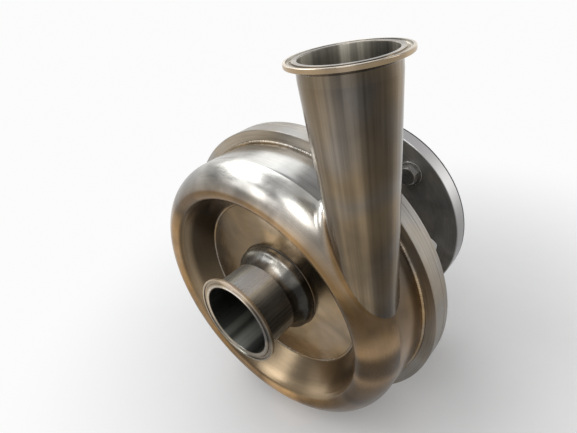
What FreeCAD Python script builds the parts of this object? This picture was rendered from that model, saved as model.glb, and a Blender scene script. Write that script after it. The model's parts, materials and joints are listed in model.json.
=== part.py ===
# Sanitary centrifugal pump head: pressed volute casing, clamp-ferrule ports, back plate,
# adapter for a C-face motor, and the rotor with its impeller and mechanical seal.
# Millimetres. Y is the shaft axis: the motor seats on the plane y = 0 from the +Y side and
# the suction port faces -Y. The discharge rises along +Z at the +X side of the casing.
import FreeCAD, Part
import math
import os

V = FreeCAD.Vector
AXIS = V(0, 1, 0)
CENTRE = V(0, 0, 0)

# Fits and running gaps
slip_gap = 0.02
seal_film = 0.05
washer_gap = 0.1
impeller_front_gap = 2.0
impeller_back_gap = 2.0

# Sheet, plate and weld sizes of the casing
shell_wall = 2.5
front_plate_thickness = 3.0
seam_edge_break = 0.6
weld_leg = 2.6
weld_face_share = 0.58
plate_bead_rise = 0.25

# Motor flange of the adapter, made for a 182TC to 184TC motor face
motor_gasket_thickness = 2.0
motor_flange_thickness = 16.2
motor_register_lip = 9.22
motor_flange_edge_break = 1.0
motor_pilot_radius = 107.98
motor_pilot_depth = 6.5
motor_bolt_circle_inset = 15.905
motor_bolt_count = 4
motor_bolt_radius = 6.35
motor_bolt_clearance = 0.55
motor_bolt_shank_relief = 0.65
motor_bolt_length = 31.75
motor_bolt_head_flats = 19.05
motor_bolt_head_height = 8.0
motor_washer_radius = 13.5
motor_washer_thickness = 2.5

# Adapter neck and front ring
neck_length = 93.3
neck_outer_radius = 62.0
neck_wall = 8.0
neck_window_length = 68.0
neck_window_angle = 104.0
neck_window_corner = 8.0
front_ring_thickness = 12.0
front_ring_lip = 24.0
adapter_screw_circle_inset = 11.5
adapter_screw_count = 6
adapter_screw_engagement = 8.5

# Small hex screws that hold the adapter and the casing to the back plate
screw_radius = 4.0
screw_hole_clearance = 0.5
screw_head_flats = 13.0
screw_head_height = 5.3
screw_end_gap = 1.5
screw_crown_share = 0.25
screw_crown_inset = 0.2
screw_point_share = 0.15

# Back plate and casing flange, one diameter, clamped with a seam between them
flange_lip = 12.1
back_plate_thickness = 7.5
spigot_height = 4.0
spigot_gap = 0.1
casing_flange_thickness = 14.6
casing_flange_bore_inset = 12.1
casing_screw_circle_inset = 8.2
casing_screw_count = 8
casing_screw_engagement = 9.5
casing_seal_section_radius = 1.8
casing_seal_from_bore = 4.6
seat_boss_wall = 11.0
seat_boss_height = 8.0

# Casing barrel and the pressed volute ring in front of it
barrel_outer_radius = 140.1
ring_plane_from_seam = 53.4
ring_arc_radius = 30.3
ring_crest_radius = 9.0
ring_crest_angle = 64.0
ring_shoulder_radius = 4.0
ring_shoulder_rise = 21.4
front_plate_inset = 46.7
chamber_depth = 42.6

# Suction port, 3 inch clamp ferrule on a flared base
suction_reach = 59.5
suction_tube_radius = 38.1
suction_tube_wall = 1.65
suction_rim_width = 7.4
suction_tube_length = 37.7
suction_base_flare = 8.3
suction_base_land = 8.0

# Discharge port, 2.5 inch clamp ferrule on a cone that meets the ring tangentially
discharge_height = 225.0
discharge_inset = 24.8
discharge_tube_radius = 31.75
discharge_tube_wall = 1.65
discharge_rim_width = 7.0
discharge_ferrule_length = 12.7
discharge_narrowing = 12.35
discharge_foot_overlap = 0.4

# Clamp ferrule rim, the same on both ports
ferrule_rim_thickness = 2.85
ferrule_edge_break = 0.57
ferrule_back_angle = 20.0
ferrule_groove_inset = 3.6
ferrule_groove_radius = 1.6

# Stub shaft that grips the motor shaft
motor_shaft_radius = 14.2875
stub_socket_wall = 9.7
stub_mouth_from_motor = 22.0
stub_socket_length = 60.0
stub_bore_depth = 50.0
stub_slit_length = 30.0
stub_slit_width = 2.0
stub_slit_count = 4
seal_shaft_radius = 15.0
impeller_seat_step = 4.0
impeller_shoulder_from_seam = 2.0
impeller_seat_length = 28.0
shaft_thread_step = 3.0
shaft_thread_length = 12.0

# Clamp collar on the slit end of the stub shaft
collar_width = 16.0
collar_wall = 13.0
collar_from_mouth = 8.0
collar_split = 3.0
collar_screw_radius = 3.0
collar_screw_head_radius = 5.0
collar_screw_from_bore = 6.0
collar_screw_reach = 14.0
collar_head_seat = 8.0
collar_key_flats = 5.0

# Rubber slinger on the stub shaft
slinger_height = 16.0
slinger_hub_wall = 5.0
slinger_width = 9.0
slinger_lip_width = 3.0
slinger_from_collar = 8.0

# Impeller
impeller_radius = 100.0
impeller_shroud_thickness = 4.0
impeller_hub_wall = 10.0
impeller_rear_hub_wall = 7.0
vane_count = 5
vane_thickness = 4.0
vane_root_depth = 5.0
vane_middle_radius = 60.0
vane_middle_lag = 36.0
vane_tip_lag = 78.0
vane_middle_swell = 1.3
vane_tip_swell = 1.6
key_width = 5.0
key_height = 5.0
key_length = 20.0

# Impeller nut
nut_base_inset = 1.0
nut_base_thickness = 3.0
nut_flats = 30.0
nut_length = 14.4
nut_dome_share = 0.45
nut_dome_reach = 0.78
nut_dome_rise = 0.64
nut_seal_section_radius = 1.2
nut_seal_from_seat = 3.5
hub_seal_section_radius = 1.0
hub_seal_from_seat = 2.2

# Mechanical seal
seat_bore_gap = 4.5
seat_wall = 10.5
seat_depth = 10.5
seat_proud = 1.0
seat_seal_section_radius = 1.4
face_ring_wall = 9.48
face_ring_length = 9.0
face_seal_section_radius = 1.5
cup_gap = 0.7
cup_wall = 1.2
cup_overlap = 6.0
spring_wire_radius = 1.1
spring_from_shaft = 5.5
spring_turns = 4.0
spring_wire_sides = 8
spring_length = 13.0
drive_collar_length = 10.0
set_screw_radius = 2.5
set_screw_length = 8.0
set_screw_count = 2
set_screw_key_flats = 2.5

# Radii that follow from the sizes above
motor_flange_radius = motor_pilot_radius + motor_register_lip
motor_bolt_circle_radius = motor_pilot_radius - motor_bolt_circle_inset
neck_inner_radius = neck_outer_radius - neck_wall
front_ring_radius = neck_outer_radius + front_ring_lip
adapter_screw_circle_radius = front_ring_radius - adapter_screw_circle_inset
flange_radius = barrel_outer_radius + flange_lip
casing_flange_bore_radius = barrel_outer_radius - casing_flange_bore_inset
casing_screw_circle_radius = flange_radius - casing_screw_circle_inset
casing_seal_mean_radius = casing_flange_bore_radius + casing_seal_from_bore
ring_shoulder_at_radius = barrel_outer_radius - ring_arc_radius
front_plate_radius = barrel_outer_radius - front_plate_inset
suction_bore_radius = suction_tube_radius - suction_tube_wall
suction_ferrule_radius = suction_tube_radius + suction_rim_width
suction_base_radius = suction_tube_radius + suction_base_flare
discharge_offset = barrel_outer_radius - discharge_inset
discharge_bore_radius = discharge_tube_radius - discharge_tube_wall
discharge_ferrule_radius = discharge_tube_radius + discharge_rim_width
discharge_foot_radius = discharge_tube_radius - discharge_narrowing
stub_socket_radius = motor_shaft_radius + stub_socket_wall
collar_outer_radius = stub_socket_radius + collar_wall
collar_screw_offset = stub_socket_radius + collar_screw_from_bore
slinger_radius = stub_socket_radius + slinger_height
slinger_hub_radius = stub_socket_radius + slinger_hub_wall
impeller_seat_radius = seal_shaft_radius - impeller_seat_step
shaft_thread_radius = impeller_seat_radius - shaft_thread_step
impeller_hub_radius = impeller_seat_radius + impeller_hub_wall
impeller_rear_hub_radius = impeller_seat_radius + impeller_rear_hub_wall
vane_inner_radius = impeller_hub_radius - vane_root_depth
nut_base_radius = impeller_hub_radius - nut_base_inset
nut_seal_mean_radius = impeller_seat_radius + nut_seal_from_seat
hub_seal_mean_radius = impeller_seat_radius + hub_seal_from_seat
seat_bore_radius = seal_shaft_radius + seat_bore_gap
seat_outer_radius = seat_bore_radius + seat_wall
seat_boss_radius = seat_outer_radius + seat_boss_wall
face_ring_outer_radius = seal_shaft_radius + slip_gap + face_ring_wall
cup_inner_radius = face_ring_outer_radius + cup_gap
spring_mean_radius = seal_shaft_radius + spring_from_shaft

# Stations along the shaft, counted from the motor plane
motor_flange_back = -motor_gasket_thickness
motor_flange_front = motor_flange_back - motor_flange_thickness
pilot_floor = motor_flange_back - motor_pilot_depth
neck_front = motor_flange_front - neck_length
plate_back = neck_front - front_ring_thickness
seam = plate_back - back_plate_thickness
spigot_face = seam - spigot_height
flange_front = seam - casing_flange_thickness
chamber_front = seam - chamber_depth
front_plate_face = chamber_front - front_plate_thickness
ring_plane = seam - ring_plane_from_seam
shoulder_plane = ring_plane - ring_shoulder_rise
suction_face = front_plate_face - suction_reach
suction_weld = suction_face + suction_tube_length
seat_back = plate_back + seat_boss_height
seat_floor = seat_back - seat_depth
seat_face = seat_back + seat_proud
stub_mouth = -stub_mouth_from_motor
socket_front = stub_mouth - stub_socket_length
impeller_shoulder = seam + impeller_shoulder_from_seam
thread_start = impeller_shoulder - impeller_seat_length
shaft_end = thread_start - shaft_thread_length
shroud_back = spigot_face - impeller_back_gap
shroud_front = shroud_back - impeller_shroud_thickness
vane_front = chamber_front + impeller_front_gap
face_ring_front = seat_face + seal_film
face_ring_back = face_ring_front + face_ring_length
drive_collar_front = face_ring_back + spring_length
drive_collar_back = drive_collar_front + drive_collar_length
collar_back = stub_mouth - collar_from_mouth
collar_front = collar_back - collar_width
slinger_back = collar_front - slinger_from_collar


# Shape helpers

def line(start, end):
    """Straight profile edge between two (radius, y) points."""
    return Part.LineSegment(V(start[0], start[1], 0), V(end[0], end[1], 0)).toShape()


def arc(centre, radius, start_angle, end_angle):
    """Profile arc about a (radius, y) centre, angles in degrees."""
    points = []
    for share in (0.0, 0.5, 1.0):
        angle = math.radians(start_angle + share * (end_angle - start_angle))
        points.append(V(centre[0] + radius * math.cos(angle), centre[1] + radius * math.sin(angle), 0))
    return Part.Arc(*points).toShape()


def spin_edges(edges):
    """Solid of revolution about the shaft from a closed list of profile edges."""
    face = Part.Face(Part.Wire(Part.__sortEdges__(edges)))
    solid = face.revolve(CENTRE, AXIS, 360)
    if solid.Volume < 0:
        solid.reverse()
    return solid


def spin(points):
    """Solid of revolution about the shaft from a closed run of (radius, y) points."""
    closed = points + [points[0]]
    return spin_edges([line(closed[i], closed[i + 1]) for i in range(len(points))])


def tube(outer, inner, low, high):
    """Plain ring about the shaft between two stations."""
    return spin([(inner, low), (outer, low), (outer, high), (inner, high)])


def rod(radius, low, high, x=0.0, z=0.0):
    """Cylinder along the shaft direction at (x, z)."""
    return Part.makeCylinder(radius, high - low, V(x, low, z), AXIS)


def hoop(mean_radius, section_radius, station):
    """Ring of round section about the shaft."""
    return Part.makeTorus(mean_radius, section_radius, V(0, station, 0), AXIS)


def on_circle(radius, count, start=0.0):
    """Places (x, z) spaced evenly on a circle about the shaft."""
    places = []
    for i in range(count):
        angle = math.radians(start + 360.0 * i / count)
        places.append((radius * math.cos(angle), radius * math.sin(angle)))
    return places


def hex_prism(flats, low, high):
    """Hexagonal prism along the shaft with its centre on the shaft."""
    corner = flats / math.sqrt(3)
    points = [V(x, low, z) for x, z in on_circle(corner, 6)]
    face = Part.Face(Part.makePolygon(points + [points[0]]))
    return face.extrude(V(0, high - low, 0))


def hex_screw(flats, head_height, radius, length, grip=0.0, relief=0.0):
    """Hex screw with the underside of its head at y = 0 and its shank along +Y.

    Over the grip length the plain shank is thinner than the thread by relief.
    """
    corner = flats / math.sqrt(3)
    crown = head_height * screw_crown_share
    head = hex_prism(flats, -head_height, 0)
    dome = spin([(0, -head_height), (flats / 2 - screw_crown_inset, -head_height),
                 (corner + screw_crown_inset, -head_height + crown), (corner + screw_crown_inset, 0), (0, 0)])
    point = radius * screw_point_share
    outline = [(0, 0), (radius - relief, 0)]
    if grip > 0:
        outline += [(radius - relief, grip), (radius, grip)]
    shank = spin(outline + [(radius, length - point), (radius - point, length), (0, length)])
    return head.common(dome).fuse(shank).removeSplitter()


def place(shape, x, y, z, turned=False):
    """Copy of a screw at a place; turned sends its shank along -Y."""
    copy = shape.copy()
    if turned:
        copy.rotate(CENTRE, V(1, 0, 0), 180)
    copy.translate(V(x, y, z))
    return copy


def drill(shape, places, radius, low, high):
    """Shape with one straight hole along the shaft direction at each place."""
    return shape.cut([rod(radius, low, high, x, z) for x, z in places])


def save(name, shapes):
    """Write one node; a list becomes a group of separate solids."""
    group = shapes if isinstance(shapes, list) else [shapes]
    solids = [solid for shape in group for solid in shape.Solids]
    shape = solids[0] if len(solids) == 1 else Part.makeCompound(solids)
    shape.exportStep("parts/" + name + ".step")
    box = shape.BoundBox
    print("%-24s solids %d valid %s volume %.1f  y %.1f to %.1f" % (
        name, len(solids), shape.isValid(), shape.Volume, box.YMin, box.YMax))


# Clamp ferrules

def ferrule(face, rim_radius, tube_radius, bore_radius, length):
    """Clamp ferrule about the shaft: rim at the face, tapered back, short tube behind it."""
    taper = (rim_radius - tube_radius) * math.tan(math.radians(ferrule_back_angle))
    edge = ferrule_edge_break
    body = spin([(bore_radius, face), (rim_radius - edge, face), (rim_radius, face + edge),
                 (rim_radius, face + ferrule_rim_thickness - edge),
                 (rim_radius - edge, face + ferrule_rim_thickness),
                 (tube_radius, face + ferrule_rim_thickness + taper),
                 (tube_radius, face + length), (bore_radius, face + length)])
    return body.cut(hoop(rim_radius - ferrule_groove_inset, ferrule_groove_radius, face))


def suction_ferrule():
    return ferrule(suction_face, suction_ferrule_radius, suction_tube_radius,
                   suction_bore_radius, suction_tube_length)


def stand_up(shape):
    """Turn a shape from facing -Y about the shaft to facing +Z on the discharge axis."""
    shape.rotate(CENTRE, V(1, 0, 0), -90)
    shape.translate(V(discharge_offset, ring_plane, discharge_height))
    return shape


def discharge_ferrule():
    return stand_up(ferrule(0, discharge_ferrule_radius, discharge_tube_radius,
                            discharge_bore_radius, discharge_ferrule_length))


# Flared base between the suction tube and the front plate

def suction_base():
    land = front_plate_face - suction_base_land
    run = land - suction_weld
    bend = (suction_base_flare ** 2 + run ** 2) / (2 * suction_base_flare)
    turn = math.degrees(math.asin(run / bend))
    edges = [arc((suction_tube_radius + bend, suction_weld), bend, 180.0, 180.0 - turn),
             line((suction_base_radius, land), (suction_base_radius, front_plate_face)),
             line((suction_base_radius, front_plate_face), (suction_bore_radius, front_plate_face)),
             line((suction_bore_radius, front_plate_face), (suction_bore_radius, suction_weld)),
             line((suction_bore_radius, suction_weld), (suction_tube_radius, suction_weld))]
    return spin_edges(edges)


# Volute ring, front plate and barrel

def wall_slope():
    """Unit vector up the inner wall of the ring, from the front plate to the shoulder."""
    run = ring_shoulder_at_radius - front_plate_radius
    rise = shoulder_plane - front_plate_face
    length = math.hypot(run, rise)
    return run / length, rise / length


def ring_outline(inset):
    """Edges of the ring's section, moved into its metal by inset, and their two ends."""
    slope = wall_slope()
    inward = (-slope[1], slope[0])
    shoulder = (ring_shoulder_at_radius, shoulder_plane)
    arc_radius = ring_arc_radius - inset
    crest_radius = ring_crest_radius - inset
    join = math.radians(-ring_crest_angle)
    centre = (barrel_outer_radius - ring_arc_radius, ring_plane)
    reach = ring_arc_radius - ring_crest_radius
    crest = (centre[0] + reach * math.cos(join), centre[1] + reach * math.sin(join))
    away = math.degrees(math.atan2(shoulder[1] - crest[1], shoulder[0] - crest[0])) % 360.0
    gap = math.hypot(shoulder[1] - crest[1], shoulder[0] - crest[0])
    touch = away + math.degrees(math.acos(min(1.0, ring_crest_radius / gap)))
    side = (math.cos(math.radians(touch)), math.sin(math.radians(touch)))
    leave = (crest[0] + crest_radius * side[0], crest[1] + crest_radius * side[1])
    along = (-side[1], side[0])
    foot = (front_plate_radius + inward[0] * inset, front_plate_face + inward[1] * inset)
    cross = slope[0] * along[1] - slope[1] * along[0]
    step = ((leave[0] - foot[0]) * along[1] - (leave[1] - foot[1]) * along[0]) / cross
    corner = (foot[0] + slope[0] * step, foot[1] + slope[1] * step)
    drop = (chamber_front - foot[1]) / slope[1]
    start = (foot[0] + slope[0] * drop, chamber_front)
    bend = ring_shoulder_radius + (shell_wall - inset)
    turn = math.atan2(abs(cross), abs(slope[0] * along[0] + slope[1] * along[1]))
    back = bend * math.tan(turn / 2)
    before = (corner[0] - slope[0] * back, corner[1] - slope[1] * back)
    run = math.hypot(leave[0] - corner[0], leave[1] - corner[1])
    ahead = ((leave[0] - corner[0]) / run, (leave[1] - corner[1]) / run)
    after = (corner[0] + ahead[0] * back, corner[1] + ahead[1] * back)
    hub = (before[0] + inward[0] * bend, before[1] + inward[1] * bend)
    first = math.degrees(math.atan2(before[1] - hub[1], before[0] - hub[0])) % 360.0
    last = math.degrees(math.atan2(after[1] - hub[1], after[0] - hub[0])) % 360.0
    end = (barrel_outer_radius - inset, ring_plane)
    edges = [line(start, before), arc(hub, bend, first, last), line(after, leave),
             arc(crest, crest_radius, touch, 360.0 - ring_crest_angle),
             arc(centre, arc_radius, 360.0 - ring_crest_angle, 360.0)]
    return edges, start, end


def casing_envelope():
    """Solid filled to the outer skin of the ring and the barrel, with a bored middle."""
    edges, start, end = ring_outline(0.0)
    core = suction_bore_radius
    edges += [line(end, (barrel_outer_radius, flange_front)),
              line((barrel_outer_radius, flange_front), (core, flange_front)),
              line((core, flange_front), (core, chamber_front)),
              line((core, chamber_front), start)]
    return spin_edges(edges)


def discharge_slope():
    """Gain of the cone's radius for each millimetre of height above the shaft."""
    return discharge_narrowing / (discharge_height - discharge_ferrule_length)


def discharge_foot():
    """Height of the cone's lowest edge, just below where its outer side runs into the barrel."""
    slope = discharge_slope()
    side = discharge_offset + discharge_foot_radius
    square = 1 + slope ** 2
    half = side * slope
    entry = (math.sqrt(half ** 2 + square * (barrel_outer_radius ** 2 - side ** 2)) - half) / square
    return entry - discharge_foot_overlap


def discharge_taper(inset, low, high):
    """Solid cone on the discharge axis between two heights, thinner than the skin by inset."""
    slope = discharge_slope()
    return Part.makeCone(discharge_foot_radius + slope * low - inset,
                         discharge_foot_radius + slope * high - inset,
                         high - low, V(discharge_offset, ring_plane, low), V(0, 0, 1))


def discharge_way():
    """The bore of the discharge cone, in line with the bore of its ferrule."""
    top = discharge_height - discharge_ferrule_length
    return discharge_taper(discharge_tube_wall, discharge_foot(), top)


def volute_ring():
    outer, outer_start, outer_end = ring_outline(0.0)
    inner, inner_start, inner_end = ring_outline(shell_wall)
    edges = outer + inner + [line(outer_start, inner_start), line(outer_end, inner_end)]
    return spin_edges(edges).cut(discharge_way())


def casing_barrel():
    wall = tube(barrel_outer_radius, barrel_outer_radius - shell_wall, ring_plane, flange_front)
    return wall.cut(discharge_way())


def front_plate():
    slope = wall_slope()
    back_radius = front_plate_radius + slope[0] * (chamber_front - front_plate_face) / slope[1]
    return spin([(suction_bore_radius, front_plate_face), (front_plate_radius, front_plate_face),
                 (back_radius, chamber_front), (suction_bore_radius, chamber_front)])


def discharge_nozzle():
    top = discharge_height - discharge_ferrule_length
    wall = discharge_taper(0.0, discharge_foot(), top).cut(discharge_way())
    pieces = wall.cut(casing_envelope()).Solids
    return max(pieces, key=lambda piece: piece.Volume)


# Casing flange and back plate

def casing_flange():
    edge = seam_edge_break
    ring = spin([(casing_flange_bore_radius, flange_front), (flange_radius - edge, flange_front),
                 (flange_radius, flange_front + edge), (flange_radius, seam - edge),
                 (flange_radius - edge, seam), (casing_flange_bore_radius, seam)])
    places = on_circle(casing_screw_circle_radius, casing_screw_count, 180.0 / casing_screw_count)
    depth = casing_screw_engagement + screw_end_gap
    return drill(ring, places, screw_radius + slip_gap, seam - depth, seam)


def back_plate():
    edge = seam_edge_break
    spigot_radius = casing_flange_bore_radius - spigot_gap
    plate = spin([(seat_bore_radius, spigot_face), (spigot_radius, spigot_face), (spigot_radius, seam),
                  (flange_radius - edge, seam), (flange_radius, seam + edge),
                  (flange_radius, plate_back - edge), (flange_radius - edge, plate_back),
                  (seat_boss_radius, plate_back), (seat_boss_radius, seat_back),
                  (seat_bore_radius, seat_back)])
    plate = plate.cut(rod(seat_outer_radius + slip_gap, seat_floor, seat_back))
    groove = casing_seal_section_radius
    plate = plate.cut(tube(casing_seal_mean_radius + groove + slip_gap,
                           casing_seal_mean_radius - groove - slip_gap, seam, seam + 2 * groove))
    through = on_circle(casing_screw_circle_radius, casing_screw_count, 180.0 / casing_screw_count)
    plate = drill(plate, through, screw_radius + screw_hole_clearance, seam, plate_back)
    blind = on_circle(adapter_screw_circle_radius, adapter_screw_count)
    return drill(plate, blind, screw_radius + slip_gap,
                 plate_back - adapter_screw_engagement - screw_end_gap, plate_back)


def casing_seal():
    return hoop(casing_seal_mean_radius, casing_seal_section_radius, seam + casing_seal_section_radius)


def casing_screws():
    length = back_plate_thickness + casing_screw_engagement
    screw = hex_screw(screw_head_flats, screw_head_height, screw_radius, length)
    places = on_circle(casing_screw_circle_radius, casing_screw_count, 180.0 / casing_screw_count)
    return [place(screw, x, plate_back, z, turned=True) for x, z in places]


# Adapter between the back plate and the motor

def adapter_front_ring():
    ring = tube(front_ring_radius, neck_inner_radius, plate_back, neck_front)
    places = on_circle(adapter_screw_circle_radius, adapter_screw_count)
    return drill(ring, places, screw_radius + screw_hole_clearance, plate_back, neck_front)


def adapter_neck():
    wall = tube(neck_outer_radius, neck_inner_radius, neck_front, motor_flange_front)
    middle = (neck_front + motor_flange_front) / 2
    half_height = neck_outer_radius * math.sin(math.radians(neck_window_angle / 2))
    reach = neck_outer_radius + neck_window_corner
    for side in (-1, 1):
        block = Part.makeBox(reach, neck_window_length, 2 * half_height,
                             V(0 if side > 0 else -reach, middle - neck_window_length / 2, -half_height))
        ends = [edge for edge in block.Edges if abs(edge.BoundBox.XLength - reach) < slip_gap]
        wall = wall.cut(block.makeFillet(neck_window_corner, ends))
    return wall


def adapter_screws():
    length = front_ring_thickness + adapter_screw_engagement
    screw = hex_screw(screw_head_flats, screw_head_height, screw_radius, length)
    places = on_circle(adapter_screw_circle_radius, adapter_screw_count)
    return [place(screw, x, neck_front, z, turned=True) for x, z in places]


def motor_bolt_places():
    return on_circle(motor_bolt_circle_radius, motor_bolt_count, 180.0 / motor_bolt_count)


def motor_flange():
    edge = motor_flange_edge_break
    disc = spin([(neck_inner_radius, motor_flange_front), (motor_flange_radius - edge, motor_flange_front),
                 (motor_flange_radius, motor_flange_front + edge), (motor_flange_radius, motor_flange_back),
                 (motor_pilot_radius, motor_flange_back), (motor_pilot_radius, pilot_floor),
                 (neck_inner_radius, pilot_floor)])
    return drill(disc, motor_bolt_places(), motor_bolt_radius + motor_bolt_clearance,
                 motor_flange_front, pilot_floor)


def motor_gasket():
    return tube(motor_flange_radius, motor_pilot_radius + screw_hole_clearance, motor_flange_back, 0)


def motor_bolts():
    seat = motor_flange_front - motor_washer_thickness
    screw = hex_screw(motor_bolt_head_flats, motor_bolt_head_height, motor_bolt_radius, motor_bolt_length,
                      pilot_floor - seat, motor_bolt_shank_relief)
    return [place(screw, x, seat, z) for x, z in motor_bolt_places()]


def motor_washers():
    seat = motor_flange_front - motor_washer_thickness
    washers = []
    for x, z in motor_bolt_places():
        disc = rod(motor_washer_radius, seat, motor_flange_front, x, z)
        washers.append(disc.cut(rod(motor_bolt_radius + washer_gap, seat, motor_flange_front, x, z)))
    return washers


# Weld beads of the casing and the adapter

def corner_bead(radius, station, radial, axial):
    """Weld in a corner: legs run from the corner along radial and axial, with a raised face."""
    tip = (radius + radial * weld_leg, station)
    top = (radius, station + axial * weld_leg)
    middle = (radius + radial * weld_leg * weld_face_share, station + axial * weld_leg * weld_face_share)
    face = Part.Arc(V(tip[0], tip[1], 0), V(middle[0], middle[1], 0), V(top[0], top[1], 0)).toShape()
    return spin_edges([line((radius, station), tip), face, line(top, (radius, station))])


def plate_bead():
    """Weld where the front plate meets the sloping inner wall of the ring."""
    slope = wall_slope()
    inner = (front_plate_radius - weld_leg, front_plate_face)
    upper = (front_plate_radius + slope[0] * weld_leg, front_plate_face + slope[1] * weld_leg)
    middle = ((inner[0] + upper[0]) / 2 - plate_bead_rise, (inner[1] + upper[1]) / 2 - plate_bead_rise)
    face = Part.Arc(V(inner[0], inner[1], 0), V(middle[0], middle[1], 0), V(upper[0], upper[1], 0)).toShape()
    corner = (front_plate_radius, front_plate_face)
    return spin_edges([line(corner, inner), face, line(upper, corner)])


def weld_beads():
    return [plate_bead(),
            corner_bead(suction_base_radius, front_plate_face, 1, -1),
            corner_bead(barrel_outer_radius, flange_front, 1, -1),
            corner_bead(neck_outer_radius, neck_front, 1, 1),
            corner_bead(neck_outer_radius, motor_flange_front, 1, -1)]


# Rotor

def key_block(gap):
    """Key between the shaft and the impeller, grown by gap all round."""
    middle = (impeller_shoulder + thread_start) / 2
    low = impeller_seat_radius - key_height / 2 - gap
    return Part.makeBox(key_width + 2 * gap, key_length + 2 * gap, key_height + 2 * gap,
                        V(-key_width / 2 - gap, middle - key_length / 2 - gap, low))


def stub_shaft():
    shaft = spin([(0, shaft_end), (shaft_thread_radius, shaft_end), (shaft_thread_radius, thread_start),
                  (impeller_seat_radius, thread_start), (impeller_seat_radius, impeller_shoulder),
                  (seal_shaft_radius, impeller_shoulder), (seal_shaft_radius, socket_front),
                  (stub_socket_radius, socket_front), (stub_socket_radius, stub_mouth), (0, stub_mouth)])
    shaft = shaft.cut(rod(motor_shaft_radius + slip_gap, stub_mouth - stub_bore_depth, stub_mouth))
    for i in range(stub_slit_count):
        slit = Part.makeBox(stub_socket_radius + stub_slit_width, stub_slit_length, stub_slit_width,
                            V(0, stub_mouth - stub_slit_length, -stub_slit_width / 2))
        slit.rotate(CENTRE, AXIS, 360.0 * (i + 0.5) / stub_slit_count)
        shaft = shaft.cut(slit)
    return shaft.cut(key_block(slip_gap))


def shaft_clamp():
    collar = tube(collar_outer_radius, stub_socket_radius + slip_gap, collar_front, collar_back)
    split = Part.makeBox(collar_outer_radius + collar_split, collar_width, collar_split,
                         V(0, collar_front, -collar_split / 2))
    collar = collar.cut(split)
    middle = (collar_front + collar_back) / 2
    bore = Part.makeCylinder(collar_screw_radius + slip_gap, 2 * collar_screw_reach + collar_head_seat,
                             V(collar_screw_offset, middle, -collar_screw_reach), V(0, 0, 1))
    seat = Part.makeCylinder(collar_screw_head_radius + slip_gap, collar_outer_radius,
                             V(collar_screw_offset, middle, collar_head_seat), V(0, 0, 1))
    return collar.cut(bore).cut(seat)


def shaft_clamp_screw():
    middle = (collar_front + collar_back) / 2
    head_height = 2 * collar_screw_radius
    shank = Part.makeCylinder(collar_screw_radius, collar_head_seat + collar_screw_reach,
                              V(collar_screw_offset, middle, -collar_screw_reach), V(0, 0, 1))
    head = Part.makeCylinder(collar_screw_head_radius, head_height,
                             V(collar_screw_offset, middle, collar_head_seat), V(0, 0, 1))
    socket = hex_prism(collar_key_flats, 0, collar_screw_radius)
    socket.rotate(CENTRE, V(1, 0, 0), 90)
    socket.translate(V(collar_screw_offset, middle, collar_head_seat + head_height - collar_screw_radius))
    return shank.fuse(head).cut(socket).removeSplitter()


def slinger():
    front = slinger_back - slinger_width
    return spin([(stub_socket_radius + slip_gap, front), (slinger_hub_radius, front),
                 (slinger_hub_radius, slinger_back - slinger_lip_width),
                 (slinger_radius, slinger_back - slinger_lip_width), (slinger_radius, slinger_back),
                 (stub_socket_radius + slip_gap, slinger_back)])


def curve_point(radius, lag, offset=0.0):
    """Point on a vane at a radius and lag angle, moved sideways by offset."""
    angle = math.radians(-lag) + offset / radius
    return V(radius * math.cos(angle), shroud_front, radius * math.sin(angle))


def vane():
    half = vane_thickness / 2
    sides = []
    for offset in (-half, half):
        sides.append(Part.Arc(curve_point(vane_inner_radius, 0, offset),
                              curve_point(vane_middle_radius, vane_middle_lag, offset * vane_middle_swell),
                              curve_point(impeller_radius, vane_tip_lag, offset * vane_tip_swell)).toShape())
    first, second = sides
    root = Part.LineSegment(first.Vertexes[0].Point, second.Vertexes[0].Point).toShape()
    tip = Part.LineSegment(first.Vertexes[-1].Point, second.Vertexes[-1].Point).toShape()
    face = Part.Face(Part.Wire(Part.__sortEdges__([first, tip, second, root])))
    return face.extrude(V(0, vane_front - shroud_front, 0))


def impeller():
    body = spin([(0, thread_start), (impeller_hub_radius, thread_start), (impeller_hub_radius, shroud_front),
                 (impeller_radius, shroud_front), (impeller_radius, shroud_back),
                 (impeller_rear_hub_radius, shroud_back), (impeller_rear_hub_radius, impeller_shoulder),
                 (0, impeller_shoulder)])
    vanes = []
    for i in range(vane_count):
        blade = vane()
        blade.rotate(CENTRE, AXIS, 360.0 * i / vane_count)
        vanes.append(blade)
    eye = rod(impeller_hub_radius - slip_gap, vane_front, thread_start)
    body = body.fuse([blade.cut(eye) for blade in vanes]).removeSplitter()
    body = body.cut(rod(impeller_seat_radius + slip_gap, thread_start, impeller_shoulder))
    body = body.cut(key_slot())
    groove = 2 * hub_seal_section_radius
    return body.cut(tube(hub_seal_mean_radius + hub_seal_section_radius + slip_gap,
                         impeller_seat_radius, impeller_shoulder - groove, impeller_shoulder))


def key_slot():
    """Keyway of the impeller, open at the hub's back so that it slides over the key."""
    box = key_block(slip_gap).BoundBox
    length = impeller_shoulder - box.YMin
    return Part.makeBox(box.XLength, length, box.ZLength, V(box.XMin, box.YMin, box.ZMin))


def hub_seal():
    return hoop(hub_seal_mean_radius, hub_seal_section_radius, impeller_shoulder - hub_seal_section_radius)


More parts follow.
